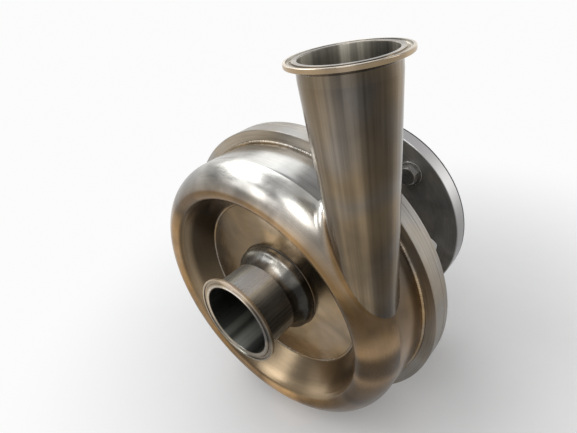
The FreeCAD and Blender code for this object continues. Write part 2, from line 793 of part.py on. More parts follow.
def impeller_nut():
    nose = thread_start - nut_length
    rise = nut_length * nut_dome_share
    dome_start = nose + rise
    bulge = nut_flats / math.sqrt(3)
    dome = Part.Arc(V(0, nose, 0), V(bulge * nut_dome_reach, dome_start - rise * nut_dome_rise, 0),
                    V(bulge, dome_start, 0)).toShape()
    body = spin_edges([dome, line((bulge, dome_start), (bulge, thread_start)),
                       line((bulge, thread_start), (0, thread_start)), line((0, thread_start), (0, nose))])
    body = body.common(hex_prism(nut_flats, nose, thread_start))
    base = rod(nut_base_radius, thread_start - nut_base_thickness, thread_start)
    body = body.fuse(base).removeSplitter()
    body = body.cut(rod(shaft_thread_radius + slip_gap, shaft_end - slip_gap, thread_start))
    groove = 2 * nut_seal_section_radius
    return body.cut(tube(nut_seal_mean_radius + nut_seal_section_radius + slip_gap,
                         nut_seal_mean_radius - nut_seal_section_radius - slip_gap,
                         thread_start - groove, thread_start))


def nut_seal():
    return hoop(nut_seal_mean_radius, nut_seal_section_radius, thread_start - nut_seal_section_radius)


# Mechanical seal

def seat_seal_mean():
    return seat_outer_radius - seat_seal_section_radius


def seal_seat():
    body = tube(seat_outer_radius, seat_bore_radius, seat_floor, seat_back)
    nose = tube(face_ring_outer_radius, seat_bore_radius, seat_back, seat_face)
    middle = (seat_floor + seat_back) / 2
    section = seat_seal_section_radius + slip_gap
    groove = tube(seat_outer_radius + slip_gap, seat_outer_radius - 2 * section,
                  middle - section, middle + section)
    return body.fuse(nose).removeSplitter().cut(groove)


def seat_seal():
    return hoop(seat_seal_mean(), seat_seal_section_radius, (seat_floor + seat_back) / 2)


def face_seal_station():
    return (face_ring_front + face_ring_back) / 2


def face_ring():
    ring = tube(face_ring_outer_radius, seal_shaft_radius + slip_gap, face_ring_front, face_ring_back)
    section = face_seal_section_radius + slip_gap
    return ring.cut(tube(seal_shaft_radius + 2 * section, seal_shaft_radius,
                         face_seal_station() - section, face_seal_station() + section))


def face_seal():
    return hoop(seal_shaft_radius + face_seal_section_radius + slip_gap, face_seal_section_radius,
                face_seal_station())


def seal_cup():
    mouth = face_ring_back - cup_overlap
    return tube(cup_inner_radius + cup_wall, cup_inner_radius, mouth, drive_collar_back)


def seal_spring():
    """Coil spring; its round wire is drawn with eight flats."""
    low = face_ring_back + spring_wire_radius + slip_gap
    high = drive_collar_front - spring_wire_radius - slip_gap
    pitch = (high - low) / spring_turns
    path = Part.makeHelix(pitch, high - low, spring_mean_radius)
    places = on_circle(spring_wire_radius, spring_wire_sides, 180.0 / spring_wire_sides)
    corners = [V(spring_mean_radius + x, 0, z) for x, z in places]
    section = Part.makePolygon(corners + [corners[0]])
    coil = Part.Wire(path).makePipeShell([section], True, True)
    coil.rotate(CENTRE, V(1, 0, 0), -90)
    coil.translate(V(0, low, 0))
    return coil


def drive_collar():
    ring = tube(cup_inner_radius - slip_gap, seal_shaft_radius + slip_gap,
                drive_collar_front, drive_collar_back)
    middle = (drive_collar_front + drive_collar_back) / 2
    for side in range(set_screw_count):
        hole = Part.makeCylinder(set_screw_radius + slip_gap, cup_inner_radius, V(0, middle, 0), V(0, 0, 1))
        hole.rotate(CENTRE, AXIS, 360.0 * side / set_screw_count)
        ring = ring.cut(hole)
    return ring


def set_screws():
    middle = (drive_collar_front + drive_collar_back) / 2
    screws = []
    for side in range(set_screw_count):
        start = seal_shaft_radius + slip_gap
        screw = Part.makeCylinder(set_screw_radius, set_screw_length, V(0, middle, start), V(0, 0, 1))
        socket = hex_prism(set_screw_key_flats, 0, set_screw_radius)
        socket.rotate(CENTRE, V(1, 0, 0), 90)
        socket.translate(V(0, middle, start + set_screw_length - set_screw_radius))
        screw = screw.cut(socket)
        screw.rotate(CENTRE, AXIS, 360.0 * side / set_screw_count)
        screws.append(screw)
    return screws


os.makedirs("parts", exist_ok=True)
save("suction_ferrule", suction_ferrule())
save("suction_base", suction_base())
save("front_plate", front_plate())
save("volute_ring", volute_ring())
save("casing_barrel", casing_barrel())
save("casing_flange", casing_flange())
save("discharge_nozzle", discharge_nozzle())
save("discharge_ferrule", discharge_ferrule())
save("weld_beads", weld_beads())
save("back_plate", back_plate())
save("casing_seal_ring", casing_seal())
save("casing_screws", casing_screws())
save("adapter_front_ring", adapter_front_ring())
save("adapter_neck", adapter_neck())
save("adapter_screws", adapter_screws())
save("motor_flange", motor_flange())
save("motor_gasket", motor_gasket())
save("motor_bolts", motor_bolts())
save("motor_bolt_washers", motor_washers())
save("stub_shaft", stub_shaft())
save("shaft_clamp", shaft_clamp())
save("shaft_clamp_screw", shaft_clamp_screw())
save("slinger", slinger())
save("impeller", impeller())
save("impeller_key", key_block(0.0))
save("hub_seal_ring", hub_seal())
save("impeller_nut", impeller_nut())
save("nut_seal_ring", nut_seal())
save("seal_seat", seal_seat())
save("seat_seal_ring", seat_seal())
save("seal_face_ring", face_ring())
save("face_seal_ring", face_seal())
save("seal_cup", seal_cup())
save("seal_spring", seal_spring())
save("drive_collar", drive_collar())
save("collar_set_screws", set_screws())
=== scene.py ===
# Looks of a sanitary centrifugal pump head, built round its packed construction.
# Metres, in the frame of the construction: Y is the shaft, the motor is on the +Y side, Z is up.
import json
import math

import bmesh
import bpy
from mathutils import Euler, Matrix, Vector


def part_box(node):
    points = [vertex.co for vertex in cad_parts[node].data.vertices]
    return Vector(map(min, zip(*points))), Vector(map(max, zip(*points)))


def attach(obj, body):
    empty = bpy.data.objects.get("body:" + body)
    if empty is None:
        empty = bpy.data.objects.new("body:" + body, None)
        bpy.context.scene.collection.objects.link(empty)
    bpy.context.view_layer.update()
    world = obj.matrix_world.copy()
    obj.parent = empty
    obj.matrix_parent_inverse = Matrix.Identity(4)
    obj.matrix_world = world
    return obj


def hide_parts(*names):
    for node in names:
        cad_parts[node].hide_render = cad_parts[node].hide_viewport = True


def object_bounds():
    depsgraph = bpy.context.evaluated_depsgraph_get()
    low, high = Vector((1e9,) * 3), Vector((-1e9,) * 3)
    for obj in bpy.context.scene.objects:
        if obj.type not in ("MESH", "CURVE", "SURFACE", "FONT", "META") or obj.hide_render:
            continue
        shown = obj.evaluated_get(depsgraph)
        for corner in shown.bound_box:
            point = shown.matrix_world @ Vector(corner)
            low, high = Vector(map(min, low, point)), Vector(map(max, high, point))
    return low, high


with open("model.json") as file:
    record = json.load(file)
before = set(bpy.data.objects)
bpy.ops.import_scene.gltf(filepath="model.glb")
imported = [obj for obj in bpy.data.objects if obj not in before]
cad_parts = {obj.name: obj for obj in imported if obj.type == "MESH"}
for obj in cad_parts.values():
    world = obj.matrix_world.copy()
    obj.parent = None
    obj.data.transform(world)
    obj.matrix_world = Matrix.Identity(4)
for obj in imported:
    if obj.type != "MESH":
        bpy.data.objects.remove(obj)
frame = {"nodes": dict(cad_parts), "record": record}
cad_low, cad_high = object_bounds()
mounts = {mount["name"]: mount for mount in frame["record"]["mounts"]}


# Viewpoint. The camera stands where the photograph was taken; its place, turn and lens were solved
# together from the circles of the two ports, the ring and the flanges.
camera_place = (0.26864, -0.40349, 0.27146)
camera_turn = (60.406, 9.302, 40.804)
camera_lens = 27.14
camera_nearest = 0.01


def placed(name, data):
    """New object in the scene, at the origin and unturned."""
    thing = bpy.data.objects.new(name, data)
    bpy.context.scene.collection.objects.link(thing)
    return thing


camera_data = bpy.data.cameras.new("viewpoint")
camera_data.lens = camera_lens
camera_data.clip_start = camera_nearest
camera = placed("viewpoint", camera_data)
camera.location = camera_place
camera.rotation_euler = Euler([math.radians(turn) for turn in camera_turn])
bpy.context.scene.camera = camera
bpy.context.scene.view_settings.view_transform = "Standard"


# Floor, room and lamps. The pump head stands on a plain pale floor that runs out into an even white,
# with soft boxes over it and an even grey room all round.
floor_radius = 20.0
floor_rings = (0.02, 0.05, 0.1, 0.3, 0.6)
backdrop_height = 11.0
backdrop_bend = 2.0
white_height = 2.0
white_glow = 0.97
floor_color = (0.90, 0.895, 0.885, 1.0)
floor_grain = 40.0
floor_roughness = 0.9
floor_shine = 0.1
near_floor = 0.14
far_floor = 0.55
room_color = (0.66, 0.665, 0.68, 1.0)
room_strength = 0.62
lamp_aim = (0.0, -0.15, 0.05)


def node_of(tree, kind, values=None, **settings):
    """Adds a node with its settings; a value goes into its socket, and another node's output is linked."""
    node = tree.nodes.new(kind)
    for name, value in settings.items():
        setattr(node, name, value)
    for name, value in (values or {}).items():
        if isinstance(value, bpy.types.NodeSocket):
            tree.links.new(value, node.inputs[name])
        else:
            node.inputs[name].default_value = value
    return node


def math_of(tree, operation, *values):
    """Output of a Math node on numbers or sockets."""
    return node_of(tree, "ShaderNodeMath", dict(enumerate(values)), operation=operation).outputs[0]


def vector_of(tree, operation, *values):
    """Output of a Vector Math node on vectors or sockets."""
    node = node_of(tree, "ShaderNodeVectorMath", dict(enumerate(values)), operation=operation)
    return node.outputs["Value" if operation in ("LENGTH", "DOT_PRODUCT") else "Vector"]


def noise_of(tree, place, scale, detail, **more):
    """Soft noise over a place; more are further sockets of its node."""
    values = {"Vector": place, "Scale": scale, "Detail": detail, **more}
    return node_of(tree, "ShaderNodeTexNoise", values).outputs["Fac"]


def value_range(tree, value, low, high, to_low, to_high, smooth=False):
    """Maps a value from one range to another and returns the output socket."""
    values = {"Value": value, "From Min": low, "From Max": high, "To Min": to_low, "To Max": to_high}
    return node_of(tree, "ShaderNodeMapRange", values,
                   interpolation_type="SMOOTHSTEP" if smooth else "LINEAR").outputs["Result"]


def plain_material(name):
    """A node material with its shader; returns the material, its tree and the shader."""
    material = bpy.data.materials.new(name)
    material.use_nodes = True
    tree = material.node_tree
    return material, tree, tree.nodes["Principled BSDF"]


def floor_material():
    """Matt pale floor; far from the pump it fades into an even white backdrop."""
    material, tree, shader = plain_material("floor_pale")
    shader.inputs["Roughness"].default_value = floor_roughness
    shader.inputs["Specular IOR Level"].default_value = floor_shine
    place = node_of(tree, "ShaderNodeTexCoord").outputs["Object"]
    shade = value_range(tree, noise_of(tree, place, floor_grain, 4.0), 0.3, 0.7, 0.985, 1.0)
    tint = node_of(tree, "ShaderNodeMix", {0: 1.0, 6: floor_color, 7: shade}, data_type="RGBA",
                   blend_type="MULTIPLY")
    tree.links.new(tint.outputs[2], shader.inputs["Base Color"])
    away = value_range(tree, vector_of(tree, "LENGTH", place), near_floor, far_floor, 0.0, 1.0, smooth=True)
    rays = node_of(tree, "ShaderNodeLightPath").outputs
    seen = math_of(tree, "MAXIMUM", rays["Is Camera Ray"], rays["Is Glossy Ray"])
    seen = math_of(tree, "MAXIMUM", seen, rays["Is Transmission Ray"])
    height = node_of(tree, "ShaderNodeSeparateXYZ", {0: place}).outputs["Z"]
    strength = value_range(tree, height, white_height, backdrop_height, white_glow,
                           room_strength * room_color[1], smooth=True)
    glow = node_of(tree, "ShaderNodeEmission", {"Color": (1.0, 1.0, 1.0, 1.0), "Strength": strength})
    blend = node_of(tree, "ShaderNodeMixShader", {0: math_of(tree, "MULTIPLY", away, seen),
                                                  1: shader.outputs[0], 2: glow.outputs[0]})
    tree.links.new(blend.outputs[0], tree.nodes["Material Output"].inputs["Surface"])
    return material


def round_turns(count):
    """Angles of points spread evenly round a circle."""
    return [2 * math.pi * i / count for i in range(count)]


def round_faces(rows, steps):
    """Faces of a turned skin: a fan round point 0, then four-sided ones between the rows of points."""
    faces = [(0, 1 + i, 1 + (i + 1) % steps) for i in range(steps)]
    for row in range(rows - 1):
        first = 1 + row * steps
        for i in range(steps):
            ahead = (i + 1) % steps
            faces.append((first + i, first + steps + i, first + steps + ahead, first + ahead))
    return faces


def floor_sweep(steps=96, bends=12):
    """Round floor whose far edge curves up into a backdrop on all sides."""
    rows = [(floor_radius * share, 0.0) for share in floor_rings]
    for i in range(bends + 1):
        turn = math.pi / 2 * i / bends
        rows.append((floor_radius + backdrop_bend * math.sin(turn), backdrop_bend * (1 - math.cos(turn))))
    rows.append((floor_radius + backdrop_bend, backdrop_height))
    points = [(0.0, 0.0, cad_low.z)]
    for radius, height in rows:
        points += [(radius * math.cos(turn), radius * math.sin(turn), cad_low.z + height)
                   for turn in round_turns(steps)]
    mesh = bpy.data.meshes.new("floor")
    mesh.from_pydata(points, [], round_faces(len(rows), steps))
    mesh.polygons.foreach_set("use_smooth", [True] * len(mesh.polygons))
    return mesh


def soft_box(name, place, aim, size, glow, color):
    """Rectangular lamp; glow is the brightness of its face, where 1 is white."""
    data = bpy.data.lights.new(name, "AREA")
    data.shape = "RECTANGLE"
    data.size, data.size_y = size
    data.energy = glow * math.pi * size[0] * size[1]
    data.color = color
    lamp = placed(name, data)
    lamp.location = place
    lamp.rotation_euler = (Vector(aim) - Vector(place)).to_track_quat("-Z", "Y").to_euler()


floor_mesh = floor_sweep()
floor_mesh.materials.append(floor_material())
floor = placed("floor", floor_mesh)

world = bpy.data.worlds.new("room")
world.use_nodes = True
world.node_tree.nodes["Background"].inputs["Color"].default_value = room_color
world.node_tree.nodes["Background"].inputs["Strength"].default_value = room_strength
bpy.context.scene.world = world

soft_box("box_front", (-0.62, -0.95, 1.05), lamp_aim, (0.75, 0.5), 2.1, (0.96, 0.98, 1.0))
soft_box("box_left", (-0.72, -0.22, 1.12), lamp_aim, (0.6, 0.45), 3.4, (0.97, 0.98, 1.0))
soft_box("box_over", (-0.75, 0.45, 0.95), lamp_aim, (1.1, 0.8), 1.2, (0.95, 0.98, 1.0))
soft_box("box_high", (0.35, -0.75, 1.25), (0.0, -0.15, 0.0), (0.5, 0.7), 1.6, (0.97, 0.98, 1.0))
soft_box("box_right", (1.3, 0.5, 0.9), (0.1, -0.1, 0.0), (0.35, 1.2), 3.0, (1.0, 0.98, 0.95))


# Volute ring. A pressed ring of thin stainless sheet: its inner wall climbs from the front plate to a soft
# shoulder, rolls over the crest and comes round to the barrel. Pressed, welded, then polished round the
# shaft, so its tone changes in long soft clouds with fine lines along them; over that, highlights and shade
# are painted on in bands round the shaft, along the shoulder and on the upper faces.
barrel_low, barrel_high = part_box("casing_barrel")
plate_low, plate_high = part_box("front_plate")
sheet = 0.0025
cone_wall = 0.00165
ring_radius = barrel_high.x
ring_plane = barrel_low.y
ring_bow = 0.0303
crest_bow = 0.009
crest_turn = math.radians(64.0)
shoulder_bow = 0.0065
shoulder_rise = 0.0214
shoulder = (ring_radius - ring_bow, ring_plane - shoulder_rise)
wall_foot = (plate_high.x, plate_low.y)
chamber_front = plate_high.y
cone_axis = Vector(mounts["discharge_bore"]["pos_m"])
cone_bore = mounts["discharge_bore"]["dims"]["r_mm"] / 1000
cone_skin = cone_bore + cone_wall
cone_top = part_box("discharge_ferrule")[0].z
cone_taper = 0.01235
cone_narrowing = cone_taper / cone_top
turned_steps = 240
casing_steps = 360
turning_path = 0.05
sharp_corner = math.radians(32.0)
wall_steps = 10
shoulder_steps = 10
slope_steps = 4
crest_steps = 18
outer_steps = 26


def bow(centre, radius, start, end, count):
    """Points of an arc about a (radius, y) centre, angles in radians."""
    turns = [start + (end - start) * i / count for i in range(count + 1)]
    return [(centre[0] + radius * math.cos(turn), centre[1] + radius * math.sin(turn)) for turn in turns]


def run(start, end, count):
    """Points of a straight run, without its last one."""
    return [(start[0] + (end[0] - start[0]) * i / count, start[1] + (end[1] - start[1]) * i / count)
            for i in range(count)]


def ring_skin(inset):
    """Skin of the ring from its foot up the inner wall and over to the barrel, inset into the metal."""
    wall = Vector((shoulder[0] - wall_foot[0], shoulder[1] - wall_foot[1])).normalized()
    inward = Vector((-wall.y, wall.x))
    centre = Vector((ring_radius - ring_bow, ring_plane))
    reach = ring_bow - crest_bow
    crest = centre + reach * Vector((math.cos(crest_turn), -math.sin(crest_turn)))
    away = Vector(shoulder) - crest
    touch = math.atan2(away.y, away.x) % (2 * math.pi) + math.acos(min(1.0, crest_bow / away.length))
    side = Vector((math.cos(touch), math.sin(touch)))
    leave = crest + (crest_bow - inset) * side
    along = Vector((-side.y, side.x))
    foot = Vector(wall_foot) + inward * inset
    cross = wall.x * along.y - wall.y * along.x
    step = ((leave.x - foot.x) * along.y - (leave.y - foot.y) * along.x) / cross
    corner = foot + wall * step
    start = foot + wall * ((chamber_front - foot.y) / wall.y)
    bend = shoulder_bow - inset
    back = bend * math.tan(math.atan2(abs(cross), abs(wall.dot(along))) / 2)
    before = corner - wall * back
    after = corner + (leave - corner).normalized() * back
    hub = before + inward * bend
    first = math.atan2(before.y - hub.y, before.x - hub.x) % (2 * math.pi)
    last = math.atan2(after.y - hub.y, after.x - hub.x) % (2 * math.pi)
    points = run(start, before, wall_steps)
    points += bow(hub, bend, first, last, shoulder_steps)
    points += run(after, leave, slope_steps)[1:]
    points += bow(crest, crest_bow - inset, touch, 2 * math.pi - crest_turn, crest_steps)
    points += bow(centre, ring_bow - inset, 2 * math.pi - crest_turn, 2 * math.pi, outer_steps)[1:]
    return points


def group_of(name, kind, given, made):
    """New node group with named inputs and outputs; returns it, its given values and its output node."""
    group = bpy.data.node_groups.new(name, kind)
    for way, sockets in (("INPUT", given), ("OUTPUT", made)):
        for socket, form in sockets.items():
            group.interface.new_socket(socket, in_out=way, socket_type="NodeSocket" + form)
    return group, node_of(group, "NodeGroupInput").outputs, node_of(group, "NodeGroupOutput")


def finished(tree, geometry, finish, result):
    """Ends a geometry tree: makes its copies real, gives them their finish and hands them out."""
    real = node_of(tree, "GeometryNodeRealizeInstances", {"Geometry": geometry})
    last = node_of(tree, "GeometryNodeSetMaterial",
                   {"Geometry": real.outputs["Geometry"], "Material": finish})
    tree.links.new(last.outputs["Geometry"], result.inputs[0])


def turning_tree():
    """Geometry nodes that turn an outline round the shaft: x is the radius and y runs along the shaft."""
    tree, given, result = group_of("turning", "GeometryNodeTree",
                                   {"Outline": "Geometry", "Steps": "Int", "Path Radius": "Float",
                                    "Finish": "Material"}, {"Solid": "Geometry"})
    path = node_of(tree, "GeometryNodeCurvePrimitiveCircle",
                   {"Resolution": given["Steps"], "Radius": given["Path Radius"]})
    outline = node_of(tree, "GeometryNodeMeshToCurve", {"Mesh": given["Outline"]})
    sweep = node_of(tree, "GeometryNodeCurveToMesh",
                    {"Curve": path.outputs["Curve"], "Profile Curve": outline.outputs["Curve"]})
    stand = node_of(tree, "GeometryNodeTransform",
                    {"Geometry": sweep.outputs["Mesh"], "Rotation": (math.pi / 2, 0.0, 0.0)})
    smooth = node_of(tree, "GeometryNodeSetShadeSmooth", {"Geometry": stand.outputs["Geometry"]})
    finished(tree, smooth.outputs["Geometry"], given["Finish"], result)
    return tree


turning = turning_tree()


def made_plain(thing):
    """Plain mesh of an object as its modifiers shape it; the modifiers are then removed."""
    graph = bpy.context.evaluated_depsgraph_get()
    mesh = bpy.data.meshes.new_from_object(thing.evaluated_get(graph))
    thing.modifiers.clear()
    return mesh


def grown(name, base, tree, values):
    """Runs a geometry tree on a base mesh and returns the result as a plain object."""
    source = placed(name + "_base", base)
    growth = source.modifiers.new("growth", "NODES")
    growth.node_group = tree
    for item in tree.interface.items_tree:
        if item.in_out == "INPUT" and item.name in values:
            growth[item.identifier] = values[item.name]
    mesh = made_plain(source)
    bpy.data.objects.remove(source)
    mesh.name = name
    return placed(name, mesh)


def turned(name, outline, finish, steps=turned_steps):
    """Piece turned round the shaft from a closed outline of (radius, y) points."""
    base = bpy.data.meshes.new(name + "_outline")
    edges = [(i, (i + 1) % len(outline)) for i in range(len(outline))]
    base.from_pydata([(radius - turning_path, y, 0.0) for radius, y in outline], edges, [])
    piece = grown(name, base, turning, {"Steps": steps, "Path Radius": turning_path, "Finish": finish})
    piece.data.set_sharp_from_angle(angle=sharp_corner)
    return piece


def flat_of(tree, place):
    """The part of a place that is square to the axis, which is Z once the piece is turned upright."""
    return vector_of(tree, "MULTIPLY", place, (1.0, 1.0, 0.0))


def worked_lines_group():
    """Shader group: fine lines left by a tool, round an axis (Around small) or along it (Around large)."""
    group, given, result = group_of("worked_lines", "ShaderNodeTree",
                                    {"Place": "Vector", "Across": "Float", "Along": "Float",
                                     "Around": "Float", "Detail": "Float"}, {"Lines": "Float"})
    flat = flat_of(group, given["Place"])
    way = node_of(group, "ShaderNodeSeparateXYZ", {0: vector_of(group, "NORMALIZE", flat)}).outputs
    height = node_of(group, "ShaderNodeSeparateXYZ", {0: given["Place"]}).outputs["Z"]
    across = math_of(group, "MULTIPLY", vector_of(group, "LENGTH", flat), given["Across"])
    along = math_of(group, "MULTIPLY", height, given["Along"])
    swing = math_of(group, "MULTIPLY", way["X"], given["Around"])
    sway = math_of(group, "MULTIPLY", way["Y"], given["Around"])
    joined = node_of(group, "ShaderNodeCombineXYZ", {0: across, 1: along, 2: swing})
    noise = node_of(group, "ShaderNodeTexNoise",
                    {"Vector": joined.outputs[0], "W": sway, "Scale": 1.0, "Detail": given["Detail"],
                     "Roughness": 0.6}, noise_dimensions="4D")
    group.links.new(noise.outputs["Fac"], result.inputs["Lines"])
    return group


# Painted top light: the heights and upward facing over which the pale colour is painted on.
lift_heights = (-0.06, 0.05)
lift_facing = (0.15, 0.9)
patch_size = 13.0


def steel_tone_group():
    """Shader group: colour and gloss of worked steel with clouds and lines; faces that point up and stand
    high get the pale colour as a painted highlight.
    """
    group, given, result = group_of("steel_tone", "ShaderNodeTree",
                                    {"Place": "Vector", "Facing": "Vector", "Lines": "Float",
                                     "Painted Light Gain": "Float", "Deep": "Color", "Pale": "Color", "Lift": "Float",
                                     "Cloud Size": "Float", "Cloud Share": "Float", "Line Share": "Float",
                                     "Gloss Low": "Float", "Gloss High": "Float", "Grey Share": "Float"},
                                    {"Color": "Color", "Roughness": "Float"})
    height = node_of(group, "ShaderNodeSeparateXYZ", {0: given["Place"]}).outputs["Z"]
    facing = node_of(group, "ShaderNodeSeparateXYZ", {0: given["Facing"]}).outputs["Z"]
    # Painted highlight: upper faces high up are mixed towards the pale colour.
    above = value_range(group, height, *lift_heights, 0.0, 1.0, smooth=True)
    upward = value_range(group, facing, *lift_facing, 0.0, 1.0, smooth=True)
    painted_top_light = math_of(group, "MULTIPLY", math_of(group, "MULTIPLY", above, upward), given["Lift"])
    clouds = noise_of(group, given["Place"], given["Cloud Size"], 3.0, Roughness=0.5, Distortion=0.4)
    cloud = math_of(group, "MULTIPLY", value_range(group, clouds, 0.3, 0.7, -1.0, 1.0), given["Cloud Share"])
    line = value_range(group, given["Lines"], 0.25, 0.75, -1.0, 1.0)
    marks = math_of(group, "ADD", cloud, math_of(group, "MULTIPLY", line, given["Line Share"]))
    # The painted light gain scales the colour, together with its clouds and lines.
    gain = math_of(group, "MULTIPLY_ADD", marks, given["Painted Light Gain"], given["Painted Light Gain"])
    blend = node_of(group, "ShaderNodeMix", {0: painted_top_light, 6: given["Deep"], 7: given["Pale"]},
                    data_type="RGBA", clamp_factor=True)
    color = node_of(group, "ShaderNodeVectorMath", {0: blend.outputs[2], "Scale": gain},
                    operation="SCALE").outputs[0]
    grey = node_of(group, "ShaderNodeRGBToBW", {0: color}).outputs[0]
    patches = noise_of(group, given["Place"], patch_size, 2.0, Distortion=0.6)
    patch = value_range(group, patches, 0.42, 0.62, 0.0, 1.0, smooth=True)
    tint = node_of(group, "ShaderNodeMix",
                   {0: math_of(group, "MULTIPLY", patch, given["Grey Share"]), 6: color, 7: grey},
                   data_type="RGBA", clamp_factor=True, clamp_result=True)
    gloss = value_range(group, math_of(group, "ADD", cloud, line), -1.0, 1.0,
                        given["Gloss Low"], given["Gloss High"])
    group.links.new(tint.outputs[2], result.inputs["Color"])
    group.links.new(gloss, result.inputs["Roughness"])
    return group


worked_lines = worked_lines_group()
steel_tone = steel_tone_group()
shaft_turn = (-math.pi / 2, 0.0, 0.0)
darkest_band = 0.1
bore_facing = (-0.86, -0.62)
line_detail = 5.0
face_lines = (900.0, 0.0, 0.25, 2.0)
face_edge = (0.0002, 0.0006)
line_depth = 0.0002
wave_depth = 0.004


def off_radius(tree, flat, radius):
    """How far a place is from a radius about the axis, inside or outside it."""
    off = math_of(tree, "SUBTRACT", vector_of(tree, "LENGTH", flat), radius)
    return math_of(tree, "ABSOLUTE", off)


def painted_light_gain(tree, place, bands, painted_rings=()):
    """Painted highlight and shade round an axis: each band is an angle and half width in degrees and its
    gain.

    Angles start at +X and run over +Z round the shaft, or over +Y round the upright discharge.
    """
    flat = flat_of(tree, place)
    unit = vector_of(tree, "NORMALIZE", flat)
    total = 1.0
    # Painted rings: a highlight along a rounded edge, or painted shade in a corner where the gain is under
    # 0.
    for radius, width, gain in painted_rings:
        near = value_range(tree, off_radius(tree, flat, radius), 0.0, width, gain, 0.0, smooth=True)
        total = math_of(tree, "ADD", total, near)
    # Painted bands: highlight or shade on one side of the axis.
    for angle, width, gain in bands:
        turn = math.radians(angle)
        toward = vector_of(tree, "DOT_PRODUCT", unit, (math.cos(turn), math.sin(turn), 0.0))
        mask = value_range(tree, toward, math.cos(math.radians(width)), 1.0, 0.0, gain, smooth=True)
        total = math_of(tree, "ADD", total, mask)
    return math_of(tree, "MAXIMUM", total, darkest_band)


def facing_axis(tree, place, normal, turn):
    """Mask of the surfaces that face the axis, as the wall of a bore does."""
    unit = vector_of(tree, "NORMALIZE", flat_of(tree, place))
    stood = node_of(tree, "ShaderNodeMapping", {"Vector": normal, "Rotation": turn}, vector_type="NORMAL")
    toward = vector_of(tree, "DOT_PRODUCT", unit, stood.outputs[0])
    return value_range(tree, toward, *bore_facing, 1.0, 0.0)


def mixed(tree, mask, first, second, kind, shade=None):
    """Mixes two sockets or values by a mask; shade scales the second colour."""
    a, b, out = (6, 7, 2) if kind == "RGBA" else (2, 3, 0)
    if shade is not None:
        second = node_of(tree, "ShaderNodeVectorMath", {0: second[:3], "Scale": shade},
                         operation="SCALE").outputs[0]
    return node_of(tree, "ShaderNodeMix", {0: mask, a: first, b: second}, data_type=kind,
                   clamp_result=True).outputs[out]


def lines_of(tree, place, across, along, around, detail):
    """Output of the group of worked lines with its own values."""
    values = {"Place": place, "Across": across, "Along": along, "Around": around, "Detail": detail}
    return node_of(tree, "ShaderNodeGroup", values, node_tree=worked_lines).outputs["Lines"]


def feed(tree, shader, color, roughness, relief):
    """Feeds colour, roughness and relief, the values of a Bump node, into a shader."""
    tree.links.new(color, shader.inputs["Base Color"])
    tree.links.new(roughness, shader.inputs["Roughness"])
    tree.links.new(node_of(tree, "ShaderNodeBump", relief).outputs["Normal"], shader.inputs["Normal"])


def steel_material(name, deep, pale, painted_top_light, clouds, lines, gloss, relief, centre=(0, 0, 0), turn=shaft_turn,
                   bands=(), waves=(18.0, 0.0), bore=None, painted_rings=(), grey=0.6, metal=1.0, face=None):
    """Worked steel. clouds and waves are (size, share), lines is (across, along, around, share).

    bore holds the color, roughness, painted bands, painted rings and metal share of what faces the axis: its
    own tone, with painted light and shade for the inside of a bore or recess. painted_rings are rings about
    the axis, as (radius, half width, gain): painted highlights along rounded edges, or with a gain under 0
    painted shade in a corner.
    metal is under 1 where a fine satin grain scatters part of the light.
    face is the radius of a tube and the tint of its faced rim, whose lines run round the axis.
    """
    material, tree, shader = plain_material(name)
    shader.inputs["Metallic"].default_value = metal
    given = node_of(tree, "ShaderNodeTexCoord").outputs
    centred = vector_of(tree, "SUBTRACT", given["Object"], centre)
    stood = node_of(tree, "ShaderNodeMapping", {"Vector": centred, "Rotation": turn}).outputs[0]
    marks = lines_of(tree, stood, *lines[:3], line_detail)
    drawn = marks
    if face:
        off = off_radius(tree, flat_of(tree, stood), face[0])
        rim = value_range(tree, off, *face_edge, 0.0, 1.0)
        drawn = mixed(tree, rim, marks, lines_of(tree, stood, *face_lines), "FLOAT")
    # Painted light and shade round the axis, from bands and rings.
    gain = painted_light_gain(tree, stood, bands, painted_rings) if bands or painted_rings else 1.0
    tone = node_of(tree, "ShaderNodeGroup",
                   {"Place": given["Object"], "Facing": given["Normal"], "Lines": drawn, "Painted Light Gain": gain,
                    "Deep": (*deep, 1.0), "Pale": (*pale, 1.0), "Lift": painted_top_light, "Cloud Size": clouds[0],
                    "Cloud Share": clouds[1], "Line Share": lines[3], "Gloss Low": gloss[0],
                    "Gloss High": gloss[1], "Grey Share": grey}, node_tree=steel_tone)
    color, roughness = tone.outputs["Color"], tone.outputs["Roughness"]
    if face:
        color = node_of(tree, "ShaderNodeMix", {0: rim, 6: color, 7: (*face[1], 1.0)}, data_type="RGBA",
                        blend_type="MULTIPLY").outputs[2]
    # Faces toward the axis take their own tone, times painted bands: painted light and shade inside bores
    # and on the recess wall.
    if bore:
        inside = facing_axis(tree, stood, given["Normal"], turn)
        streaks = value_range(tree, marks, 0.3, 0.7, 1 - lines[3], 1 + lines[3])
        shade = math_of(tree, "MULTIPLY", streaks, painted_light_gain(tree, stood, bore["bands"], bore["painted_rings"]))
        color = mixed(tree, inside, color, (*bore["color"], 1.0), "RGBA", shade)
        roughness = mixed(tree, inside, roughness, bore["roughness"], "FLOAT")
        if bore["metal"] != metal:
            tree.links.new(value_range(tree, inside, 0.0, 1.0, metal, bore["metal"]),
                           shader.inputs["Metallic"])
    bump = {"Strength": relief, "Distance": line_depth, "Height": drawn}
    if waves[1] > 0:
        swell = noise_of(tree, given["Object"], waves[0], 1.5, Roughness=0.4)
        soft = node_of(tree, "ShaderNodeBump",
                       {"Strength": waves[1], "Distance": wave_depth, "Height": swell})
        bump["Normal"] = soft.outputs["Normal"]
    feed(tree, shader, color, roughness, bump)
    return material


